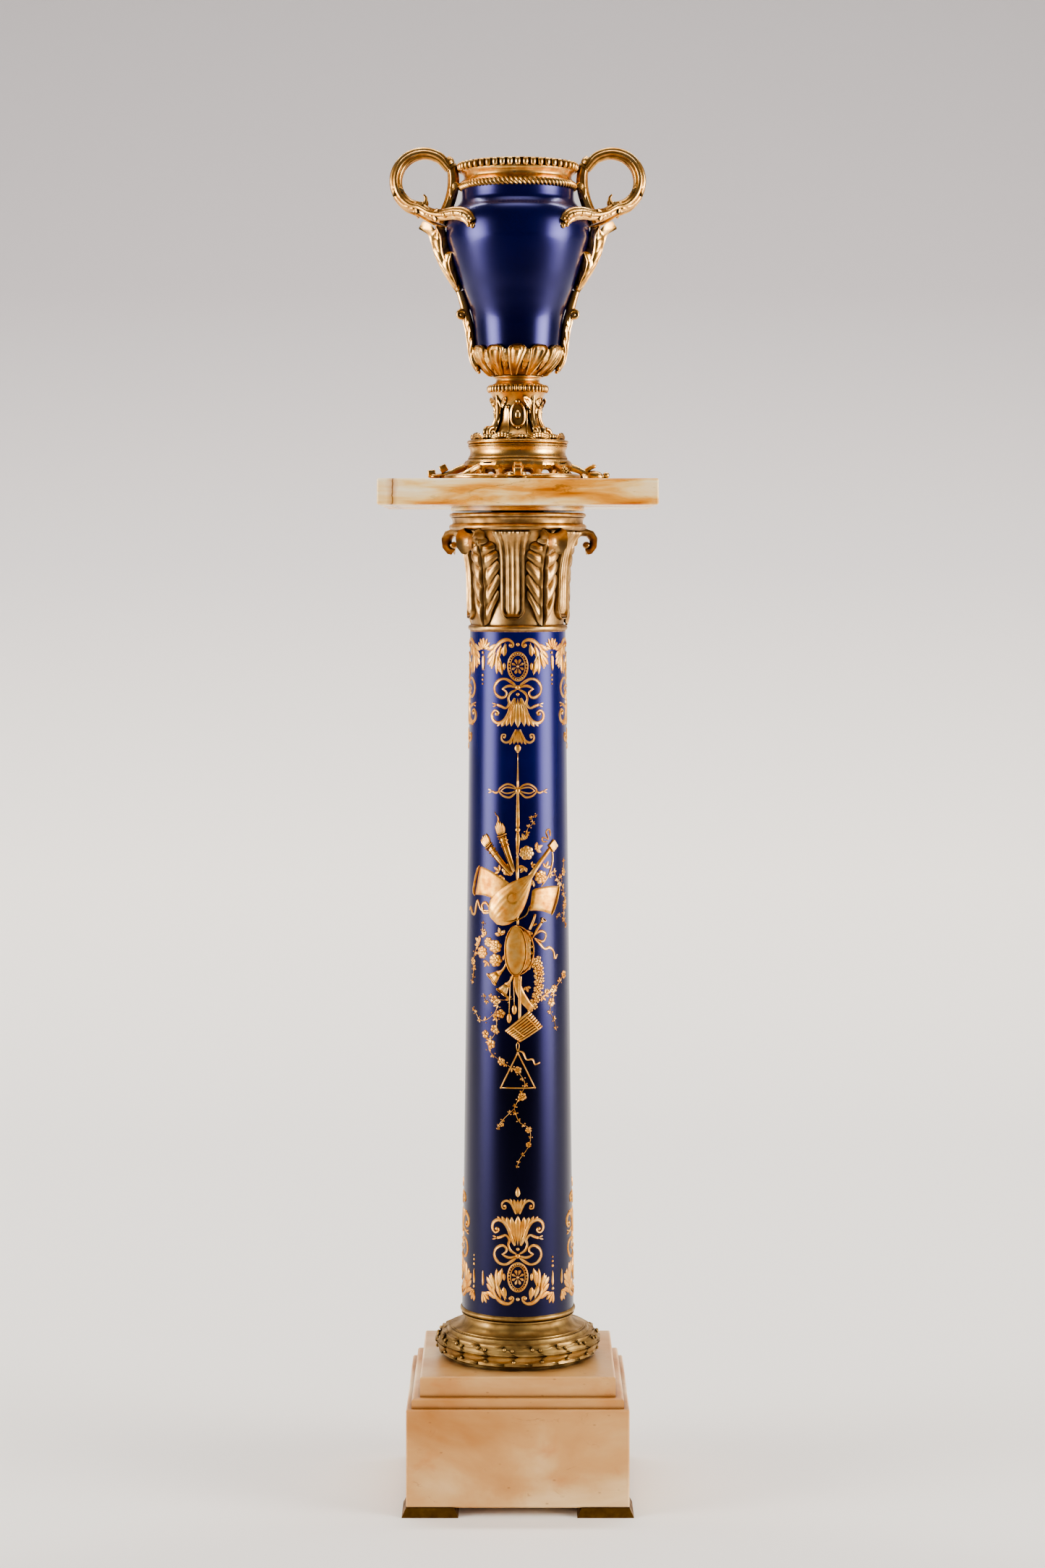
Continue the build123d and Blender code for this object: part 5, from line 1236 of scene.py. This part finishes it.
def friezeMotif():
    half = []
    # C-scroll acanthus: the volute above the medallion, the back, and leaf lobes falling outwards
    half.append(
        stroke([(9.4, 24.4), (7.2, 22.4), (5.2, 24.6), (6.6, 28.2), (11, 31), (17, 30.4), (23, 26.6),
                (28, 20), (30, 12)], [2.6, 2.4, 2.6, 3.2, 4.2, 5.2, 5.4, 4.4, 2.4], 1.2, 0.3)
    )
    half.append(dome((8.6, 24.6), 2.2, None, 1.5, 2))
    half += [
        petal((22, 27), (38.5, 18.4), 6.4), petal((26, 22), (38.6, 9.4), 6.4), petal((27.5, 16), (38.6, 1.4),
            6.8),
        petal((27, 18), (32.5, -3.4), 6.2), petal((25, 18), (25.2, -9.4), 6.0), petal((23, 14), (18.6, -10.4),
            5.6),
        petal((20, 26), (24.6, 9), 6.8), petal((15, 28), (16.4, 11.4), 6.4), petal((13, 26), (20.4, 14.6),
            5.4),
        petal((24, 26), (33, 22.4), 5.0), petal((28, 12), (35, -1.0), 4.6), petal((24, 10), (21.4, -7), 5.0),
    ]
    half.append(dome((16.2, 0), 1.9, 4.4, 1.0, 2))
    # ribbon bow under the medallion
    half.append(stroke([(1, -24), (7.2, -18.6), (15, -14.6), (23.2, -16.6), (28.4, -24.4), (26.6, -32),
                        (20, -36.4), (14.6, -35), (13.4, -30.4), (17.4, -26.4)], [2.6, 4.0, 3.2, 4.2, 3.0,
                            4.2, 3.4, 3.0, 2.4], 0.9, 0.55))
    half.append(stroke([(1, -25), (8, -22.8), (13.6, -23.6), (18.8, -26.8)], [2.4, 3.6, 3.4, 2.2], 0.9, 0.5))
    half.append(stroke([(1.6, -27), (8.4, -31), (11.2, -37.4), (9.8, -43.6), (14.2, -48.6), (20.4, -46.4),
                        (25.4, -44.6)], [2.2, 3.6, 2.8, 3.8, 3.0, 4.0, 3.2], 0.9, 0.5))
    half += [petal((24.4, -44.8), (31.4, -43), 2.4), petal((24.4, -45.2), (30.6, -47.4), 2.4)]
    # large bellflower with two scrolls
    half.append(stroke([(3.2, -37), (7.6, -46), (11, -56), (16.4, -63.6), (23.6, -66.2), (29.6, -62.8),
                        (31.2, -56.2), (27.4, -51.4), (23, -53.6), (24.2, -57.4)], [3.6, 4.8, 5.0, 4.8, 4.6,
                            4.2, 3.6, 3.0, 2.4, 2.0], 1.2, 0.25))
    half.append(dome((25.4, -55.6), 2.3, None, 1.5, 2))
    half += [petal((6, -44), (7.4, -70.4), 6.0), petal((9, -54), (13.2, -70), 5.2), petal((13, -60),
        (19.4, -70.6), 4.6), petal((19, -64), (24.6, -70), 3.6), petal((2.4, -38), (4.6, -66), 6.4)]
    # small bellflower
    half.append(stroke([(2, -73.6), (4.8, -80), (8.4, -86.4), (14, -88.8), (18.8, -85.6), (18.4, -80),
                        (14.6, -79.6), (14.6, -82.8)], [2.6, 3.4, 3.4, 3.2, 2.8, 2.4, 2.0, 1.6], 1.1, 0.25))
    half.append(dome((15.6, -82.6), 1.7, None, 1.3, 2))
    half += [petal((3, -77), (4.6, -91), 4.0), petal((6, -83), (9.4, -91.4), 3.4), petal((1.4, -74),
        (2.4, -89), 4.2)]
    # palmette, ball, pendant drop and three beads between two motifs
    for reach, lean in ((14.6, 0.06), (15.0, 0.42), (13.6, 0.82), (10.6, 1.22)):
        half.append(petal((44.8 - 1.2 * lean, 19.4), (44.8 - reach * math.sin(lean),
            18.6 + reach * math.cos(lean)), 4.8, 1.0, 0.66))
    half.append(petal((43.9, 12.8), (43.9, -5.6), 3.8, 1.0, 0.3))
    whole = mirrored(half)
    whole += [dome((0, 25.6), 2.2, None, 1.3, 2), dome((0, -24.6), 3.0, 2.8, 1.5, 2), dome((0, -32.6), 2.0,
        None, 1.2, 2)]
    for y, size in ((15.8, 2.0), (-10.6, 1.8), (-16.0, 1.5), (-20.8, 1.2)):
        whole.append(dome((43.9, y), size, None, 1.1, 2))
    # beaded oval with an eight-petal rosette
    ovals = [(0.95 * 12.2, 16.6, 2.2), (0.95 * 8.9, 13.2, 1.2)]
    for rx, ry, width in ovals:
        ring = [(rx * math.sin(t), ry * math.cos(t)) for t in [i * fullTurn / 24 for i in range(25)]]
        whole.append(stroke(ring, [width, width], 0.9, 0.0, 4, 1.4))
    for i in range(26):
        t = i * fullTurn / 26
        whole.append(dome((10.5 * math.sin(t), 15.0 * math.cos(t)), 1.15, None, 1.3))
    for i in range(8):
        t = (i + 0.5) * fullTurn / 8
        whole.append(petal((1.2 * math.sin(t), 1.5 * math.cos(t)), (7.6 * math.sin(t), 9.4 * math.cos(t)),
                           3.6, 1.0, 0.72))
    whole.append(dome((0, 0), 1.7, None, 1.3, 2))
    whole.append(petal((0, -36.4), (0, -71.6), 8.4, 1.3, 0.62))
    whole.append(petal((0, -73), (0, -90.6), 4.2, 1.2, 0.62))
    return whole


gildingPlan = {"repeats": 4, "topZ": 971, "bottomZ": 260, "trophyZ": 640}
for index in range(gildingPlan["repeats"]):
    around = index * fullTurn / gildingPlan["repeats"]
    wrapOn(friezeMotif(), around, gildingPlan["topZ"])
    wrapOn(friezeMotif(), around, gildingPlan["bottomZ"], -1)
    wrapOn([dome((0, -95.4), 3.6, 4.4, 1.2, 2)], around, gildingPlan["topZ"])
    wrapOn([petal((0, -93), (0, -105.5), 5.6, 1.2, 0.36)], around, gildingPlan["bottomZ"], -1)


def cordWithBow():
    half = [
        stroke([(1, 0.4), (6, 5.2), (13, 6.6), (19.6, 3.2), (22.6, -1.2), (17.6, -7), (9.4, -8.6),
                (3.2, -3.6), (0.6, -0.6)], [2.0, 2.8, 3.0, 2.6, 2.2, 2.8, 3.0, 2.4, 1.8], 0.9, 0.5),
        stroke([(1, 0.6), (8, 2.6), (14.6, 2.6), (19.4, -0.4)], [1.6, 2.4, 2.2, 1.6], 0.9, 0.4),
        stroke([(2, -1), (8.6, -3.4), (15, -3.8), (20.6, -1)], [1.6, 2.4, 2.2, 1.6], 0.9, 0.4),
        stroke([(22, -1.4), (26.4, -3.8), (31.4, -1.8)], [2.2, 3.0, 2.6], 0.9, 0.5),
        petal((30.6, -1.8), (37.4, 0.6), 2.2), petal((30.6, -2.2), (36.8, -4), 2.2),
    ]
    cord = [stroke([(0, 42), (0, 2)], [1.0, 2.0, 3.0], 1.2), stroke([(0, -2), (0, -44)], [3.0, 3.8, 4.6], 1.2,
        0.2)]
    cord += [dome((0, -1), 2.8, 3.4, 1.6, 2), dome((0, -46.6), 2.8, 3.2, 1.5, 2), dome((0, 44), 1.4, None,
        1.1)]
    cord += [stroke([(0, -49), (0, -58), (-0.5, -76)], [3.0, 5.4, 2.6], 1.2, 0.3),
             stroke([(-0.5, -76), (-0.5, -96), (0, -112)], [2.6, 4.0, 2.4], 1.2, 0.2)]
    return mirrored(half) + cord


def torch(butt, cup, tip, flame):
    ahead = (Vector(cup) - Vector(butt)).normalized()
    across = Vector((ahead.y, -ahead.x))
    parts = [stroke([butt, (Vector(butt) + Vector(cup)) / 2, cup], [5, 7.6, 9.6], 2.2, 0.0, 8)]
    for shift in (-0.3, 0.0, 0.3):
        parts.append(stroke([Vector(butt) + across * shift * 7, Vector(cup) + across * shift * 10],
                            [0.7, 0.9], 2.6, 0.0, 2))
    for share, width in ((0.72, 10.2), (0.84, 11.6), (1.0, 12.6)):
        spot = Vector(butt) + (Vector(cup) - Vector(butt)) * share
        parts.append(stroke([spot - across * width / 2, spot + ahead * -0.8, spot + across * width / 2],
                            [2.0, 2.0], 2.8, 0.0, 4))
    for shift in (-0.36, -0.12, 0.12, 0.36):
        spot = Vector(cup) + across * shift * 12 - ahead * 3
        parts.append(dome(spot, 1.2, None, 3.2, 1))
    for shift in (-2, -1, 0, 1, 2):
        spread = 9 if flame else 11
        end = Vector(tip) + across * shift * spread / 4 - ahead * abs(shift) * (2.6 if flame else 0.8)
        parts.append(petal(Vector(cup) + across * shift * 1.7, end, 4.6, 2.4, 0.5))
    if flame:
        parts.append(stroke([Vector(tip) - ahead * 3, Vector(tip) + ahead * 3 + across * 1.6,
                             Vector(tip) + ahead * 6, Vector(tip) + ahead * 10 - across * 0.6],
                             [2.6, 1.6, 1.0, 0.5], 1.2))
    return parts


def plate(corners, tall, lines, rows=10, bulge=0.0):
    # a four-cornered plate with thin ridges that run along it
    a, b, c, d = [Vector(corner) for corner in corners]

    def place(u, v):
        x = (u + 1) / 2
        spot = (a * (1 - x) + b * x) * (1 - v) + (d * (1 - x) + c * x) * v
        spot.y += bulge * math.sin(math.pi * x)
        rim = min(1 - abs(u), v, 1 - v)
        ridge = 0.3 * abs(math.sin(math.pi * lines * v))
        return spot.x, spot.y, (tall + ridge) * min(1.0, rim * 14) - 0.2 * (rim < 0.001)

    return relief(14, rows, place)


def lute():
    joint, foot = Vector((17, 88)), Vector((-30, 34))
    ahead = (joint - foot).normalized()
    across = Vector((ahead.y, -ahead.x))

    def place(u, v):
        # a pear-shaped body with staves that meet at the neck
        half = 22.5 * math.sin(math.pi * min(1.0, 0.02 + v * 0.98) ** 0.72) ** 0.72 * (1 - 0.32 * v)
        spot = foot + (joint - foot) * v + across * u * max(half, 2.4 * v)
        roundness = math.sqrt(max(0.0, 1 - u * u))
        stave = 0.35 * abs(math.sin(u * math.pi * 3.5))
        return spot.x, spot.y, (3.6 * roundness + stave) * min(1.0, 8 * v + 0.05) - 0.2 * (abs(u) > 0.99)

    parts = [relief(26, 22, place)]
    parts.append(stroke([joint - ahead * 4, (28, 103), (42.5, 118.5)], [7.0, 5.6, 5.4], 2.6, 0.0, 6))
    parts.append(plate([(38, 121), (45, 112.5), (54, 120.5), (47, 129)], 2.6, 3))
    ring = [spun((-6, 61), 6.2, i * fullTurn / 12) for i in range(13)]
    parts.append(stroke(ring, [1.4, 1.4], 4.6, 0.0, 3, 2.0))
    parts.append(stroke([(-30, 42), (-12, 33.6), (8, 40), (14, 52)], [1.0, 1.2, 1.0], 3.4, 0.0, 3))
    bow = [(40, 128), (36, 137), (40.6, 140), (42.6, 132)], [(40, 128), (31.4, 131), (31.6, 126.4), (38, 126)]
    parts += [stroke(list(loop), [1.6, 2.6, 2.0], 1.4, 0.4) for loop in bow]
    parts.append(stroke([(45, 117), (45.6, 103), (41, 90), (35, 81), (29, 74)], [2.0, 3.0, 2.4, 2.8, 1.6],
                        1.0, 0.4))
    return parts


def tambourine():
    centre = Vector((-2.4, 0))

    def face(u, v):
        turn = math.pi * (1 + u)
        reach = v
        return (centre.x + 11.8 * reach * math.sin(turn), centre.y + 28.6 * reach * math.cos(turn), 3.9
                if reach < 0.99 else 3.0)

    rim = []
    for reach, tall in ((12.2, 4.8), (20.8, 3.4)):
        edge = [(centre.x + reach * math.sin(t) * (1 if reach < 15 or t < math.pi else 0.6),
                 28.8 * math.cos(t)) for t in [i * fullTurn / 24 for i in range(25)]]
        rim.append(stroke(edge[:13] if reach > 15 else edge, [1.6, 1.6], tall, 0.0, 4, 2.0))
    side = plate([(6, -26.4), (15.4, -22), (15.4, 22), (6, 26.4)], 1.8, 1)
    parts = [relief(24, 4, face)] + rim + [side]
    for i in range(6):
        y = -19 + 7.6 * i
        parts += [dome((13.4, y), 1.7, 2.6, 3.0, 2), dome((16.2, y + 0.6), 1.3, 2.2, 2.8, 2)]
    return parts


def horn(points, bell, bellWidth):
    parts = [stroke(points, [2.2, 2.6, 3.4, bellWidth * 0.55], 2.0, 0.0, 6)]
    last, before = Vector(points[-1]), Vector(points[-2])
    ahead = (last - before).normalized()
    across = Vector((ahead.y, -ahead.x))
    parts.append(stroke([last, last + ahead * bell], [bellWidth * 0.5, bellWidth], 2.2, 0.35, 8))
    mouth = [last + ahead * (bell + 1.2 * math.cos(t)) + across * bellWidth * 0.52 * math.sin(t)
             for t in [i * fullTurn / 12 for i in range(13)]]
    parts.append(stroke(mouth, [1.4, 1.4], 2.4, 0.0, 3))
    return parts


def trophy():
    parts = [stroke([(0, 96), (0, 30)], [3, 3], 1.4), stroke([(2.4, -30), (2.2, -82)], [4.4, 3.2], 1.6, 0.0,
        6)]
    parts += torch((-7, 88), (-37, 121), (-46, 133), False) + torch((-5, 92), (-19.6, 134), (-25, 152), True)
    parts += [plate([(-60, 62), (-22, 56), (-10, 79), (-51, 97)], 1.3, 7, 18, 3),
              plate([(14, 46), (43, 40), (57, 73), (17, 71)], 1.3, 7, 18, 2)]
    parts += [stroke([(-52, 97), (-57, 86), (-62, 70), (-61, 61)], [2.6, 2.4, 2.2], 2.2),
              stroke([(57, 73), (52, 57), (43.4, 39.6)], [2.6, 2.4, 2.2], 2.2)]
    parts += horn([(-12, -12), (-17, -22), (-24, -28)], 10, 16) + horn([(-2, -20), (-8, -34), (-13, -41)], 10,
        14)
    parts += lute() + tambourine()
    # flageolet and a small trumpet behind the tambourine
    parts += [stroke([(14, 24), (18, 33), (21, 42)], [3.2, 3.4, 2.6], 1.8, 0.0, 6),
              stroke([(17.6, 28.6), (22.6, 31)], [2.2, 2.2], 2.4)]
    parts += horn([(17, 14), (23, 24), (29, 32)], 4, 6)
    # long sash, drumsticks and pan pipes
    parts.append(stroke([(-1.6, -28), (0.6, -44), (7.6, -58), (17, -69)], [7, 9.6, 10, 8], 1.5, 0.25, 8))
    for start, end in (((-8.4, -30), (-10, -74)), ((-5, -30), (-4, -64))):
        parts += [stroke([start, end], [1.3, 1.3], 1.2), dome((end[0], end[1] - 5), 3.0, 6.0, 2.0, 2)]
    for i in range(8):
        t = i / 7
        top = Vector((14, -71)).lerp(Vector((29, -88.6)), t)
        foot = Vector((-14, -94.6)).lerp(Vector((1.4, -106)), t)
        parts.append(stroke([top, foot], [3.2, 3.2], 2.0, 0.0, 4))
    parts.append(stroke([(9, -76), (24.4, -93)], [2.6, 2.6], 2.8, 0.0, 4))
    parts.append(stroke([(-6, -89), (8, -101)], [2.6, 2.6], 2.8, 0.0, 4))
    # ribbons at the left, the right and the triangle
    parts.append(stroke([(-34, 46), (-40, 54), (-46, 52), (-44, 43), (-36, 43)], [2, 4.4, 3.4, 4.2, 2.4], 1.1,
                        0.5))
    parts.append(stroke([(-36, 45), (-48, 46), (-54, 56), (-57, 50), (-60, 40), (-66, 40), (-70, 47),
                         (-75, 43)], [2, 3.6, 2.6, 3.8, 2.6, 3.8, 2.6, 3.0], 1.0, 0.5))
    parts.append(stroke([(19, 17), (28, 22), (35, 18), (31, 10), (22, 13)], [2, 3.6, 2.8, 3.4, 2], 1.1, 0.5))
    parts.append(stroke([(20, 14), (27, 7), (33, 1), (40, 2), (46, -3), (48, -11), (53, -7)],
                        [2.4, 4.2, 3.0, 4.2, 2.8, 3.6, 2.2], 1.0, 0.5))
    triangle = [(0, -119), (19.5, -160), (-19.5, -160), (0, -119)]
    parts += [stroke([a, b], [1.9, 1.9], 1.2, 0.0, 4) for a, b in zip(triangle, triangle[1:])]
    parts += [dome(corner, 1.3, None, 1.3, 2) for corner in triangle[:3]]
    parts.append(stroke([(0, -106), (1.6, -111), (0, -117), (-1.6, -111), (0, -106)], [1.2, 1.4, 1.2], 1.2))
    parts.append(stroke([(1, -117), (6, -119), (10, -127), (17, -127), (20, -133), (26, -131)],
                        [1.6, 2.8, 2.0, 2.8, 2.0, 2.0], 1.0, 0.5))
    # flowers
    for spot, size in (((-12, 94), 6.8), ((10.6, 113.6), 8.0), ((28.6, 85), 7.6), ((-46, -4), 7.2),
                       ((-27.6, 4), 7.6), ((-27, -12), 7.4), ((-36.6, 8.6), 5.6)):
        parts += rose(spot, size, spot[0])
    for i in range(9):
        t = i / 8
        spot = smoothLine([(21.6, -13, 0), (25.4, -28, 0), (24.6, -48, 0), (17, -68, 0)], t)
        parts += flower((spot.x - 2.7, spot.y), 4.2, 5, i) + flower((spot.x + 2.9, spot.y + 2.6), 4.0, 5,
            i + 0.5)
    for spot, angle, size in (
        ((-22, 92), 2.6, 9), ((-18, 86), 4.0, 7), ((22, 118), 0.4, 10), ((8, 129), 1.9, 8), ((7.6, 98), 4.2,
            9), ((16, 99), 0.2, 6),
        ((35.5, 95), 1.2, 9), ((20, 79), 3.6, 7), ((-20, 17), 1.9, 10), ((-14, 12), 0.3, 7), ((-42, 15), 2.2,
            8), ((-38, -14), 4.2, 8),
        ((-50, 7), 2.6, 10), ((-17, -6), 5.6, 7), ((10, -42), 5.0, 7), ((33, -52), 0.4, 8),
    ):
        parts += spray(spot, angle, size)
    for points, leafSize, every in (
        ([(9, 132), (12, 142), (18, 148), (17, 155), (24, 158)], 5.4, 6), ([(-45, 14), (-45, 26), (-43, 32)],
            6.0, 8),
        ([(-50, 6), (-58, -4), (-62, -18), (-61, -32), (-66, -42)], 7.4, 8),
        ([(38, 86), (47, 90), (56, 80), (66, 90), (70, 106)], 7.0, 8),
        ([(56, 80), (66, 68), (70, 52), (66, 38), (74, 22)], 7.4, 8), ([(60, 36), (54, 40), (52, 34)], 3.6,
            6),
        ([(24, -56), (36, -52), (47, -46), (58, -38), (64, -30)], 7.6, 9), ([(47, -46), (44, -60), (40, -72),
            (46, -84), (50, -96)], 6.8, 9),
        ([(-4, -56), (-18, -58), (-32, -55), (-40, -60), (-44, -52)], 6.6, 8),
        ([(-22, -58), (-28, -74), (-44, -84), (-56, -76), (-62, -70)], 6.6, 9),
        ([(-26, -70), (-25, -92), (-32, -104), (-40, -100)], 6.6, 9), ([(-32, -104), (-35, -116), (-23, -127),
            (-11, -134)], 6.8, 8),
        ([(-11, -134), (1.5, -143), (8, -156), (1.5, -171), (-4, -184)], 5.4, 8),
        ([(-4, -184), (-20, -201), (-23, -209)], 4.0, 7),
        ([(-4, -184), (1.5, -199), (13, -208), (13, -226), (2, -243), (-1, -253)], 4.2, 8),
    ):
        parts += vine(points, leafSize, every)
    for spot, size in (
        ((-40, -99), 5.0), ((-32, -110), 5.8), ((-19, -130), 4.6), ((0, -139), 4.4), ((5, -170), 5.0),
        ((12, -209), 3.8), ((12, -226), 3.2),
        ((-28, -58), 5.4), ((-20, -74), 5.6), ((-28, -92), 5.0), ((66, -32), 5.2), ((46, -47), 5.2),
        ((42, -62), 5.4), ((68, 88), 4.6),
        ((71, 50), 4.4), ((-63, -16), 4.6), ((24, 119), 3.6), ((-18, -203), 2.6),
    ):
        parts += flower(spot, size, 5, spot[1])
    return parts


cordZ = gildingPlan["trophyZ"] + 187
for around in (0.0, math.pi):
    wrapOn(cordWithBow(), around, cordZ)
    wrapOn(trophy(), around, gildingPlan["trophyZ"])
finishPiece("shaft_gilding", gilding, "column", shaftGilding, (), 50)
print("porcelain and gilding ready")


def stageSurface(name, corners):
    bm = bmesh.new()
    rows = [[bm.verts.new(spot) for spot in row] for row in corners]
    for first, second in zip(rows, rows[1:]):
        for i in range(len(first) - 1):
            bm.faces.new((first[i], first[i + 1], second[i + 1], second[i]))
    mesh = bpy.data.meshes.new(name)
    bm.to_mesh(mesh)
    bm.free()
    mesh.polygons.foreach_set("use_smooth", [True] * len(mesh.polygons))
    obj = bpy.data.objects.new(name, mesh)
    bpy.context.collection.objects.link(obj)
    material, tree, shader, place = startMaterial(name + "Paint", {"Roughness": 0.9,
        "Specular IOR Level": 0.1})
    # painted shade: the sheet is near white on the floor and painted greyer up the wall, where less light falls
    axes = addNode(tree, "SeparateXYZ", {}, {0: place})
    share = mapRange(tree, axes.outputs[2], 0.0, 2.6, 0.0, 1.0)
    tone = rampNode(tree, share, [(0.0, "#F3EEE8"), (0.14, "#F0EAE3"), (0.42, "#C6C1C0"), (0.7, "#A39E9F"),
                                  (1.0, "#938F90")])
    # painted shade: the floor in front is painted a darker grey, so that the glaze mirrors less of it
    front = mapRange(tree, axes.outputs[1], -1.9, -0.8, 1.0, 0.0)
    tone = mixColour(tree, front, tone, "#625F5E")
    tree.links.new(tone, shader.inputs["Base Color"])
    mesh.materials.append(material)


# one pale sheet: level floor, a wide sweep, then the wall behind
sweep = {"front": -9.0, "middle": -2.0, "bendStart": 2.2, "bendR": 2.6, "wallY": 4.8, "wallTop": 9.0,
         "half": 10.0}
bends = [i * math.pi / 24 for i in range(1, 13)]
profile = [(sweep["front"], 0.0), (sweep["middle"], 0.0), (sweep["bendStart"], 0.0)]
profile += [
    (sweep["bendStart"] + sweep["bendR"] * math.sin(t), sweep["bendR"] - sweep["bendR"] * math.cos(t))
    for t in bends
]
profile += [(sweep["wallY"], sweep["wallTop"])]
stageSurface("studioSweep", [[(-sweep["half"], y, z), (sweep["half"], y, z)] for y, z in profile])


# A tall diffusing screen that glows most along its middle, so that it mirrors with soft edges
def glowScreen(name, place, target, size, strength, colour):
    bm = bmesh.new()
    bmesh.ops.create_grid(bm, x_segments=1, y_segments=1, size=0.5)
    bmesh.ops.scale(bm, vec=(*size, 1), verts=bm.verts)
    mesh = bpy.data.meshes.new(name)
    bm.to_mesh(mesh)
    bm.free()
    screen = bpy.data.objects.new(name, mesh)
    screen.location = place
    screen.rotation_euler = (Vector(target) - Vector(place)).to_track_quat("Z", "Y").to_euler()
    bpy.context.collection.objects.link(screen)
    material, tree, shader, spot = startMaterial(name + "Glow", {"Roughness": 1.0})
    axes = addNode(tree, "SeparateXYZ", {}, {0: spot})
    glow = None
    for index, length in enumerate(size):
        away = addNode(tree, "Math", {"operation": "ABSOLUTE"}, {0: axes.outputs[index]})
        fade = addNode(tree, "MapRange", {"interpolation_type": "SMOOTHSTEP", 1: 0.05 * length,
                                          2: 0.5 * length, 3: 1.0, 4: 0.0}, {0: away.outputs[0]})
        glow = fade.outputs[0] if glow is None else addNode(tree, "Math", {"operation": "MULTIPLY"},
            {0: glow, 1: fade.outputs[0]}).outputs[0]
    power = addNode(tree, "Math", {"operation": "MULTIPLY", 1: strength}, {0: glow})
    shader.inputs["Base Color"].default_value = (0, 0, 0, 1)
    shader.inputs["Emission Color"].default_value = (*colour, 1)
    tree.links.new(power.outputs[0], shader.inputs["Emission Strength"])
    mesh.materials.append(material)


glowScreen("leftScreen", (-4.5, -1.7, 0.9), (0, 0, 0.9), (4.6, 6.6), 15.0, (1.0, 0.97, 0.93))
glowScreen("rightScreen", (4.5, -1.7, 0.9), (0, 0, 0.9), (4.6, 6.6), 17.0, (1.0, 0.97, 0.93))
glowScreen("topScreen", (0, -0.6, 7.0), (0, 0.2, 0.9), (6.4, 4.6), 4.0, (1.0, 1.0, 1.0))


def softLight(name, place, target, size, power, colour):
    data = bpy.data.lights.new(name, "AREA")
    data.shape = "RECTANGLE"
    data.size, data.size_y = size
    data.energy = power
    data.color = colour
    obj = bpy.data.objects.new(name, data)
    obj.location = place
    obj.rotation_euler = (Vector(target) - Vector(place)).to_track_quat("-Z", "Y").to_euler()
    bpy.context.collection.objects.link(obj)


softLight("wallWash", (0, 1.9, 5.4), (0, 4.2, 0.2), (8.0, 0.8), 340, (1.0, 0.98, 0.95))

bpy.context.scene.view_settings.look = "AgX - Medium High Contrast"

world = bpy.data.worlds.new("studioAir")
bpy.context.scene.world = world
world.use_nodes = True
world.node_tree.nodes["Background"].inputs["Color"].default_value = (0.5, 0.5, 0.53, 1)
world.node_tree.nodes["Background"].inputs["Strength"].default_value = 0.2

cameraData = bpy.data.cameras.new("camera")
cameraLook = {"lens": 73.06, "sensor": 36, "shiftX": 0.003, "shiftY": -0.140, "away": 3.77, "height": 1.09}
cameraData.lens = cameraLook["lens"]
cameraData.sensor_fit = "VERTICAL"
cameraData.sensor_height = cameraLook["sensor"]
cameraData.shift_x = cameraLook["shiftX"]
cameraData.shift_y = cameraLook["shiftY"]
camera = bpy.data.objects.new("camera", cameraData)
camera.location = (0, -cameraLook["away"], cameraLook["height"])
camera.rotation_euler = (math.radians(90), 0, 0)
bpy.context.collection.objects.link(camera)
bpy.context.scene.camera = camera
